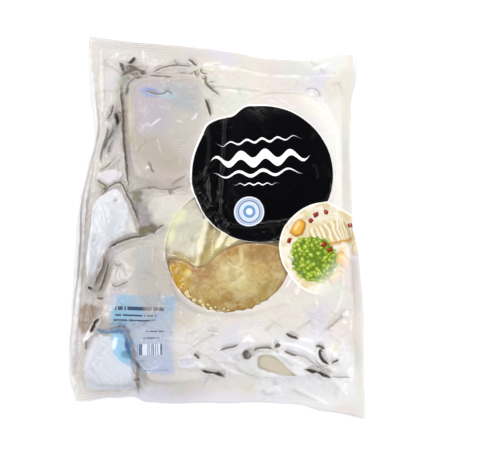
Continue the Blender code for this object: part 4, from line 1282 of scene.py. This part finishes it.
weldRibs = {
    "points": 150,  # along each rib, before they are spaced evenly
    "spacing": 2.3,
    "firstIn": 2.0,  # mm from the sheet's edge
    "radius": 0.3,
    "sunk": 0.2,
    "step": 3.0,
    "ends": (0.012, 0.988),
    "counts": {"left": 1, "right": 1, "top": 3, "bottom": 2},
}
bubbles = {
    "arc": (-134.0, -90.0),  # degrees round the window
    "band": (53.4, 56.4),  # mm from the window's centre
    "density": 260000.0,  # to a square metre
    "apart": 0.0028,  # metres, as the radius
    "size": (0.35, 0.9),  # share of the radius
    "radius": 0.0026,
    "flatness": 0.35,
    "unevenness": 0.0034,  # how far their skin is pushed about, in metres
    "grain": 260.0,  # features to a metre
    "upwards": 0.2,  # share of the push that goes up or down
    "ribbon": (60, 6),  # points along and across what they are scattered on
    "under": 0.5,  # mm below the film
    "seed": 4,
    # a painted reflection: the pale base colour stands in for the light the bubbles throw back
    "tone": "#ecdda4",
    "alpha": 0.66,
}


def newNodeGroup(name, inputs):
    # (tree, its input node, identifiers of the named inputs)
    tree = bpy.data.node_groups.new(name, "GeometryNodeTree")
    tree.interface.new_socket("Geometry", in_out="INPUT", socket_type="NodeSocketGeometry")
    tree.interface.new_socket("Geometry", in_out="OUTPUT", socket_type="NodeSocketGeometry")
    identifiers = {}
    for label, kind in inputs:
        identifiers[label] = tree.interface.new_socket(label, in_out="INPUT", socket_type=kind).identifier
    return tree, addNode(tree, "NodeGroupInput"), identifiers


def growPiece(name, start, tree, identifiers, values):
    # runs a node group on a start mesh and keeps the result as a plain mesh
    seedObject = newObject(name + "Start", start)
    modifier = seedObject.modifiers.new(name, "NODES")
    modifier.node_group = tree
    for label, value in values.items():
        modifier[identifiers[label]] = value
    depsgraph = bpy.context.evaluated_depsgraph_get()
    mesh = bpy.data.meshes.new_from_object(seedObject.evaluated_get(depsgraph))
    mesh.name = name
    seedObject.modifiers.remove(modifier)
    bpy.data.objects.remove(seedObject)
    return mesh


def makeWeldRibs(material):
    width = sheet["bottomRight"][0] - sheet["bottomLeft"][0]
    length = sheet["topLeft"][1] - sheet["bottomLeft"][1]
    low, high = weldRibs["ends"]
    points, edges = [], []
    for side, count in weldRibs["counts"].items():
        for number in range(count):
            size = width if side in ("left", "right") else length
            share = (weldRibs["firstIn"] + number * weldRibs["spacing"]) / size
            share = np.full(weldRibs["points"], share if side in ("left", "bottom") else 1 - share)
            way = np.linspace(low, high, weldRibs["points"])
            u, v = (share, way) if side in ("left", "right") else (way, share)
            x, y = layOut(u, v)
            z = marginHeight(u, v, x, y) + sheet["weldThick"] - weldRibs["sunk"]
            start = len(points)
            points += np.stack([x, y, z], 1).tolist()
            edges += [(start + i, start + i + 1) for i in range(weldRibs["points"] - 1)]
    lines = newMesh("ribLines", points, edges, [])

    tree, given, names = newNodeGroup("pressedRibs", [
        ("Radius", "NodeSocketFloat"), ("Step", "NodeSocketFloat"), ("Film", "NodeSocketMaterial")])
    line = addNode(tree, "GeometryNodeMeshToCurve", {"Mesh": given.outputs["Geometry"]})
    line = addNode(tree, "GeometryNodeResampleCurve", {"Curve": line, "Length": given.outputs["Step"]},
                   mode="LENGTH")
    profile = addNode(tree, "GeometryNodeCurvePrimitiveCircle", {"Resolution": 6,
                      "Radius": given.outputs["Radius"]})
    rib = addNode(tree, "GeometryNodeCurveToMesh", {"Curve": line, "Profile Curve": profile,
                  "Fill Caps": True})
    real = addNode(tree, "GeometryNodeRealizeInstances", {"Geometry": rib})
    done = addNode(tree, "GeometryNodeSetMaterial", {"Geometry": real, "Material": given.outputs["Film"]})
    addNode(tree, "NodeGroupOutput", {"Geometry": done})
    return growPiece("weldRibs", lines, tree, names, {
        "Radius": weldRibs["radius"] * mm, "Step": weldRibs["step"] * mm, "Film": material})


def makeBubbles(flat, material):
    # a ribbon just under the film, along the window's lower edge, that the bubbles are scattered on
    around, outwards = bubbles["ribbon"]
    angles = np.radians(np.linspace(*bubbles["arc"], around))
    radii = np.linspace(*bubbles["band"], outwards)
    x = window["centre"][0] + np.outer(radii, np.cos(angles))
    y = window["centre"][1] + np.outer(radii, np.sin(angles))
    top = np.empty(x.size)
    for number, (a, b) in enumerate(zip(x.ravel(), y.ravel())):
        top[number] = flat["z"][np.argmin((flat["movedX"] - a) ** 2 + (flat["movedY"] - b) ** 2)]
    points = np.stack([x.ravel(), y.ravel(), top - bubbles["under"]], 1)
    faces = gridFaces(np.arange(x.size).reshape(x.shape)).tolist()
    ribbon = newMesh("underWindow", points, [], faces)

    tree, given, names = newNodeGroup("trappedAir", [
        ("Density", "NodeSocketFloat"), ("Apart", "NodeSocketFloat"), ("Radius", "NodeSocketFloat"),
        ("Smallest", "NodeSocketFloat"), ("Largest", "NodeSocketFloat"), ("Flatness", "NodeSocketFloat"),
        ("Unevenness", "NodeSocketFloat"), ("Seed", "NodeSocketInt"), ("Air", "NodeSocketMaterial")])
    spots = addNode(tree, "GeometryNodeDistributePointsOnFaces", {
        "Mesh": given.outputs["Geometry"], "Distance Min": given.outputs["Apart"],
        "Density Max": given.outputs["Density"], "Seed": given.outputs["Seed"]}, distribute_method="POISSON")
    ball = addNode(tree, "GeometryNodeMeshIcoSphere", {"Radius": given.outputs["Radius"], "Subdivisions": 2})
    size = addNode(tree, "FunctionNodeRandomValue", {2: given.outputs["Smallest"],
                   3: given.outputs["Largest"], "Seed": given.outputs["Seed"]}, data_type="FLOAT")
    low = addNode(tree, "ShaderNodeMath", {0: size, 1: given.outputs["Flatness"]}, operation="MULTIPLY")
    scale = addNode(tree, "ShaderNodeCombineXYZ", {0: size, 1: size, 2: low})
    scattered = addNode(tree, "GeometryNodeInstanceOnPoints", {"Points": spots.outputs["Points"],
                        "Instance": ball.outputs["Mesh"], "Scale": scale})
    real = addNode(tree, "GeometryNodeRealizeInstances", {"Geometry": scattered})
    grain = addNode(tree, "ShaderNodeTexNoise", {"Scale": bubbles["grain"], "Detail": 1.0}).outputs["Color"]
    push = addNode(tree, "ShaderNodeVectorMath", {0: grain, 1: (0.5, 0.5, 0.5)}, operation="SUBTRACT")
    push = addNode(tree, "ShaderNodeVectorMath", {0: push, 1: (1.0, 1.0, bubbles["upwards"])},
                   operation="MULTIPLY")
    push = addNode(tree, "ShaderNodeVectorMath", {0: push, "Scale": given.outputs["Unevenness"]},
                   operation="SCALE")
    moved = addNode(tree, "GeometryNodeSetPosition", {"Geometry": real, "Offset": push})
    done = addNode(tree, "GeometryNodeSetMaterial", {"Geometry": moved, "Material": given.outputs["Air"]})
    addNode(tree, "NodeGroupOutput", {"Geometry": done})
    return growPiece("airBubbles", ribbon, tree, names, {
        "Density": bubbles["density"], "Apart": bubbles["apart"], "Radius": bubbles["radius"],
        "Smallest": bubbles["size"][0], "Largest": bubbles["size"][1], "Flatness": bubbles["flatness"],
        "Unevenness": bubbles["unevenness"], "Seed": bubbles["seed"], "Air": material})


def makeBubbleMaterial():
    # Air between the film and the brine: a glossy skin whose bright base colour is a painted reflection,
    # taking the liquid's yellow.
    return newMaterial("trappedAir", {
        "Base Color": linear(bubbles["tone"]), "Roughness": 0.12, "IOR": 1.33, "Alpha": bubbles["alpha"]})[0]


# fish and brine meshes

fleshPlaces = [  # stains of the golden portions, and one painted highlight: (middle, reach across and along, tone, strength)
    ((-42.0, -38.0), (10.0, 4.0), "#80552f", 0.85),
    ((-12.0, -50.0), (12.0, 15.0), "#a67e4a", 0.8),
    ((-22.0, -74.0), (13.0, 9.0), "#ab8a48", 0.6),
    ((16.0, -53.0), (12.0, 12.0), "#e4d9a8", 0.8),
    ((26.0, -66.0), (11.0, 7.0), "#c6b981", 0.6),
    ((42.0, -33.0), (16.0, 9.0), "#9c7646", 0.85),
    ((8.0, -32.0), (14.0, 5.0), "#a06a24", 0.7),
    ((-16.0, -44.0), (6.0, 8.0), "#96622a", 0.6),
    ((32.0, -24.0), (8.0, 6.0), "#b08460", 0.6),
    ((16.0, -80.0), (26.0, 8.0), "#98742c", 0.7),
    ((48.0, -68.0), (10.0, 11.0), "#9c7f40", 0.6),
    ((56.0, -48.0), (9.0, 12.0), "#a98a52", 0.65),
    ((-37.0, -56.0), (13.0, 18.0), "#bc9208", 1.0),
    ((-41.0, -39.0), (9.0, 5.0), "#6f4a22", 0.85),
    ((22.0, -37.0), (1.8, 9.0), "#ecdfb0", 0.55),
    # painted highlight on the golden flesh
    ((-25.0, -52.0), (3.5, 3.0), "#efe29a", 0.6),
]


def makePortion(name, seed):
    thickness, look, way, tint, outline = portions[name]
    edge = roundOff(outline)
    lengths = np.hypot(*(np.roll(edge, -1, axis=0) - edge).T)
    total = np.concatenate([[0], np.cumsum(lengths)])
    at = np.linspace(0, total[-1], fishForm["around"], endpoint=False)
    closed = np.vstack([edge, edge[:1]])
    rim = np.stack([np.interp(at, total, closed[:, 0]), np.interp(at, total, closed[:, 1])], 1)
    middle = rim.mean(0)
    top = 1 - (1 - np.linspace(0, 1, fishForm["ringsOnTop"])[1:]) ** fishForm["crowding"]
    rings = np.concatenate([top, np.linspace(*fishForm["underReach"], fishForm["underRings"])])
    x = middle[0] + np.outer(rings, rim[:, 0] - middle[0])
    y = middle[1] + np.outer(rings, rim[:, 1] - middle[1])
    height = portionTop(x, y, thickness, edge)
    slant = math.radians(way)
    along = x * math.cos(slant) + y * math.sin(slant)
    across = -x * math.sin(slant) + y * math.cos(slant)
    stray, length = fishForm["flakeStray"]
    bend = along + fishForm["flakeBow"] * (across - across.mean()) ** 2 + stray * grainAt(x, y, length, seed)
    flake = np.abs(np.sin(math.pi * bend / fishForm["flakeSpacing"])) ** fishForm["flakeEdge"]
    groove = (1 - flake) * fishForm["flakeDepth"] * ease(height / thickness * 1.6)
    relief = groove.copy()
    for rise, size, shift in fishForm["unevenness"]:
        relief += rise * (1 + grainAt(x, y, size, seed + shift))
    isTop = np.arange(len(x))[:, None] < len(top)
    thick = np.maximum(height - relief, fishForm["thinnest"])
    z = np.where(isTop, thick + fishForm["restsAt"], fishForm["restsAt"])
    z[len(top) - 1] = fishForm["restsAt"] + fishForm["foot"]
    index = np.arange(x.size).reshape(x.shape)
    after = np.roll(index, -1, 1)
    sides = np.stack([after[:-1], after[1:], index[1:], index[:-1]], -1)
    ends = np.array([[*middle, z[0].mean()], [*middle, fishForm["restsAt"]]])
    points = np.vstack([np.stack([x, y, z], -1).reshape(-1, 3), ends])
    faces = sides.reshape(-1, 4).tolist()
    faces += [(x.size, int(b), int(a)) for a, b in zip(index[0], after[0])]
    faces += [(x.size + 1, int(a), int(b)) for a, b in zip(index[-1], after[-1])]
    mesh = newMesh(name, points, [], faces)
    colours = np.tile(linear(tint), (len(mesh.vertices), 1))
    strength, size = fishForm["stainEdge"]
    ragged = strength * grainAt(points[:, 0], points[:, 1], size, seed)
    for middleOf, reach, tone, strength in fleshPlaces if look == "golden" else ():
        away = np.hypot(*((points[:, :2] - middleOf) / reach).T)
        share = (strength * ease(1.5 + ragged - away))[:, None]
        colours = colours * (1 - share) + np.array(linear(tone)) * share
    keepOnPoints(mesh, "tint", "FLOAT_COLOR", colours)
    keepOnPoints(mesh, "golden", "FLOAT", np.full(len(points), float(look == "golden")))
    inside = np.clip(insideBy(x, y, edge) / fishForm["thinRim"], 0, 1)
    keepOnPoints(mesh, "thin", "FLOAT", np.append(1 - inside.ravel(), [0, 0]))
    return mesh


fleshRim = {"tone": "#8a6330", "onPale": 0.25, "onGolden": 0.85}  # where the flesh thins out
fleshFibre = (420.0, 0.12, 0.0006)  # (features to a metre, 2.4 mm apart; strength, height in metres)
fleshTones = [  # mottling: (patch in mm, tone, share on pale and on golden portions)
    (22.0, "#b9975a", 0.04, 0.3),
    (13.0, "#dfd6b2", 0.3, 0.3),
    (10.0, "#94703a", 0.06, 0.36),
    (6.0, "#eadfb4", 0.15, 0.18),
    (3.6, "#86622c", 0.03, 0.13),
]


def makeFishMaterial():
    # Soaked cod: wet, jelly-like flesh, cut and flaking. Light soaks in a few millimetres.
    made, tree, shader = newMaterial("soakedCod", {
        "Roughness": 0.3, "IOR": 1.38, "Subsurface Weight": 0.35,
        "Subsurface Radius": (0.006, 0.004, 0.0025), "Subsurface Scale": 1.0})
    place = addNode(tree, "ShaderNodeTexCoord").outputs["Object"]
    golden = addNode(tree, "ShaderNodeAttribute", attribute_name="golden").outputs["Fac"]
    thin = addNode(tree, "ShaderNodeAttribute", attribute_name="thin").outputs["Fac"]
    colour = addNode(tree, "ShaderNodeAttribute", attribute_name="tint").outputs["Color"]
    for patch, tone, onPale, onGolden in fleshTones:
        cloud = addNode(tree, "ShaderNodeTexNoise", {"Vector": place, "Scale": 1 / (patch * mm),
                        "Detail": 3.0, "Distortion": 1.2})
        most = addNode(tree, "ShaderNodeMapRange", {0: golden, 3: onPale, 4: onGolden})
        spots = addNode(tree, "ShaderNodeMapRange", {0: cloud, 1: 0.48, 2: 0.66, 4: most},
                        interpolation_type="SMOOTHSTEP")
        colour = addNode(tree, "ShaderNodeMix", {0: spots, 6: colour, 7: linear(tone)}, data_type="RGBA")
    rim = addNode(tree, "ShaderNodeMapRange", {0: golden, 3: fleshRim["onPale"], 4: fleshRim["onGolden"]})
    rim = addNode(tree, "ShaderNodeMath", {0: rim, 1: thin}, operation="MULTIPLY")
    colour = addNode(tree, "ShaderNodeMix", {0: rim, 6: colour, 7: linear(fleshRim["tone"])},
                     data_type="RGBA")
    tree.links.new(colour.outputs[2], shader.inputs["Base Color"])
    scale, strength, height = fleshFibre
    fibre = addNode(tree, "ShaderNodeTexNoise", {"Vector": place, "Scale": scale, "Detail": 3.0})
    bump = addNode(tree, "ShaderNodeBump", {"Height": fibre.outputs[0], "Strength": strength,
                   "Distance": height})
    tree.links.new(bump.outputs[0], shader.inputs["Normal"])
    return made


brineForm = {
    "across": 72,  # faces
    "along": 100,
    "fromSeal": 3.0,
    "bottom": 0.7,
    "rim": 0.8,  # height of its thin edge
    "level": 0.86,  # share of the height that holds up the film
    "below": 1.2,
    "pale": "#dbd4cf",
    "golden": ("#c9b67c", "#dfd2a0"),
    "goldenFrom": (-0.055, -0.035),  # x in metres, over which the pale turns golden
    "clouds": 30.0,  # to a metre, 33 mm apart
}


def makeBrine():
    # the liquid in the gaps, a little under its level and clear of the film
    ways = (np.linspace(0, 1, brineForm[name] + 1) for name in ("along", "across"))
    v, u = np.meshgrid(*ways, indexing="ij")
    x, y = layOut(u, v)
    past = pastSeal(u, v) - brineForm["fromSeal"]
    deep = brineForm["level"] * brineHeight(x, past) - brineForm["below"]
    top = brineForm["rim"] + np.maximum(deep, 0.0)
    low = np.full(x.shape, brineForm["bottom"])
    keep = past > 0
    index = np.arange(x.size).reshape(x.shape)
    cell = keep[:-1, :-1] & keep[1:, :-1] & keep[:-1, 1:] & keep[1:, 1:]
    quads = gridFaces(index)[cell.ravel()]
    points = np.concatenate([np.stack([x, y, z], -1).reshape(-1, 3) for z in (top, low)])
    faces = quads.tolist() + (quads[:, ::-1] + x.size).tolist()
    edges = {(a, b): True for quad in quads.tolist() for a, b in zip(quad, quad[1:] + quad[:1])}
    faces += [(b, a, a + x.size, b + x.size) for a, b in edges if (b, a) not in edges]  # the walls round it
    mesh = newMesh("brine", points, [], faces)
    shaped = bmesh.new()
    shaped.from_mesh(mesh)
    bmesh.ops.delete(shaped, geom=[vert for vert in shaped.verts if not vert.link_faces], context="VERTS")
    shaped.to_mesh(mesh)
    shaped.free()
    return mesh


def makeBrineMaterial():
    # Soaking liquid: thin, clouded by the fish, golden where much of it has run out of the loins.
    made, tree, shader = newMaterial("fishBrine", {"Roughness": 0.12, "IOR": 1.34, "Alpha": 0.9})
    place = addNode(tree, "ShaderNodeTexCoord").outputs["Object"]
    cloud = addNode(tree, "ShaderNodeTexNoise", {"Vector": place, "Scale": brineForm["clouds"],
                    "Detail": 3.0})
    share = addNode(tree, "ShaderNodeMapRange", {0: cloud, 1: 0.4, 2: 0.6})
    deep, light = (linear(tone) for tone in brineForm["golden"])
    golden = addNode(tree, "ShaderNodeMix", {0: share, 6: deep, 7: light}, data_type="RGBA")
    across = addNode(tree, "ShaderNodeSeparateXYZ", {0: place})
    start, end = brineForm["goldenFrom"]
    yellow = addNode(tree, "ShaderNodeMapRange", {0: across.outputs[0], 1: start, 2: end})
    pale = linear(brineForm["pale"])
    colour = addNode(tree, "ShaderNodeMix", {0: yellow, 6: pale, 7: golden}, data_type="RGBA")
    tree.links.new(colour.outputs[2], shader.inputs["Base Color"])
    return made


print("frame loaded")
plainFilm = makeBackFilmMaterial()
u, v, flat = makeFrontShape()
filmMesh = makeFilmMesh(u, v, flat)
filmMesh.materials.append(makeFilmMaterial())
filmMesh.materials.append(plainFilm)
film = addPiece("filmBag", filmMesh)
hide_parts("bag")
print("film made,", len(filmMesh.polygons), "faces")
ribMesh = makeWeldRibs(plainFilm)
addPiece("weldRibs", ribMesh)
print("seals ribbed,", len(ribMesh.polygons), "faces")

flesh = makeFishMaterial()
for number, name in enumerate(portions):
    mesh = makePortion(name, 10.0 * number)
    mesh.materials.append(flesh)
    addPiece(name, mesh)
print("fish made")

brineMesh = makeBrine()
brineMesh.materials.append(makeBrineMaterial())
addPiece("brine", brineMesh)
bubbleMesh = makeBubbles(flat, makeBubbleMaterial())
addPiece("airBubbles", bubbleMesh)
print("brine made, with bubbles of", len(bubbleMesh.polygons), "faces")

# floor, light and camera

studio = {
    "floorSize": 6000.0,
    "target": (19.5, -16.0, 0.0),
    "elevation": 79.0,  # degrees above the horizon
    "distance": 750.0,
    "mmPerPixel": 0.91,
    "pictureWidth": 477,
    "sensorWidth": 36.0,
    "wall": 1.15,  # brightness of the white walls
    "ceiling": 0.05,
    "wallTop": 0.66,  # sine of the height where the wall ends
    "ceilingFrom": 0.9,
    "softboxes": [  # (name, place, size, watts)
        ("softboxLeft", (-0.8, 0.2, 1.0), 0.55, 6.5),
        ("softboxBack", (0.1, 0.95, 0.8), 0.25, 3.0),
        ("softboxRight", (0.95, -0.3, 0.8), 0.35, 6.0),
    ],
}


def makeStudio():
    half = studio["floorSize"] / 2
    corners = [(-half, -half, 0), (half, -half, 0), (half, half, 0), (-half, half, 0)]
    floor = newObject("floor", newMesh("floor", corners, [], [(0, 1, 2, 3)]))
    # Matt white paint, rolled on: it throws the light back evenly and shows no gloss.
    white = newMaterial("paintedStudioFloor", {"Base Color": linear("#f4f4f4"), "Roughness": 0.8})[0]
    floor.data.materials.append(white)

    world = bpy.data.worlds.new("studioRoom")  # white walls, and a darker ceiling over the camera
    bpy.context.scene.world = world
    world.use_nodes = True
    tree = world.node_tree
    way = addNode(tree, "ShaderNodeTexCoord").outputs["Generated"]
    up = addNode(tree, "ShaderNodeSeparateXYZ", {0: way}).outputs[2]
    ceiling = addNode(tree, "ShaderNodeMapRange", {0: up, 1: studio["wallTop"], 2: studio["ceilingFrom"],
                      3: studio["wall"], 4: studio["ceiling"]}, interpolation_type="SMOOTHSTEP").outputs[0]
    tree.links.new(ceiling, tree.nodes["Background"].inputs["Strength"])
    tree.nodes["Background"].inputs["Color"].default_value = linear("#fbfcff")

    for name, place, size, watts in studio["softboxes"]:
        light = bpy.data.lights.new(name, "AREA")
        light.shape = "RECTANGLE"
        light.size = light.size_y = size
        light.energy = watts
        lamp = newObject(name, light)
        lamp.location = place
        lamp.rotation_euler = (-Vector(place)).to_track_quat("-Z", "Y").to_euler()

    camera = bpy.data.cameras.new("camera")
    camera.sensor_width = studio["sensorWidth"]
    camera.lens = studio["sensorWidth"] * studio["distance"] / (studio["pictureWidth"] * studio["mmPerPixel"])
    eye = newObject("camera", camera)
    tilt = math.radians(studio["elevation"])
    away = Vector((0, -math.cos(tilt), math.sin(tilt))) * studio["distance"]
    eye.location = (Vector(studio["target"]) + away) * mm
    eye.rotation_euler = (math.radians(90 - studio["elevation"]), 0, 0)
    bpy.context.scene.camera = eye
    bpy.context.scene.view_settings.view_transform = "Standard"


makeStudio()
print("studio ready")
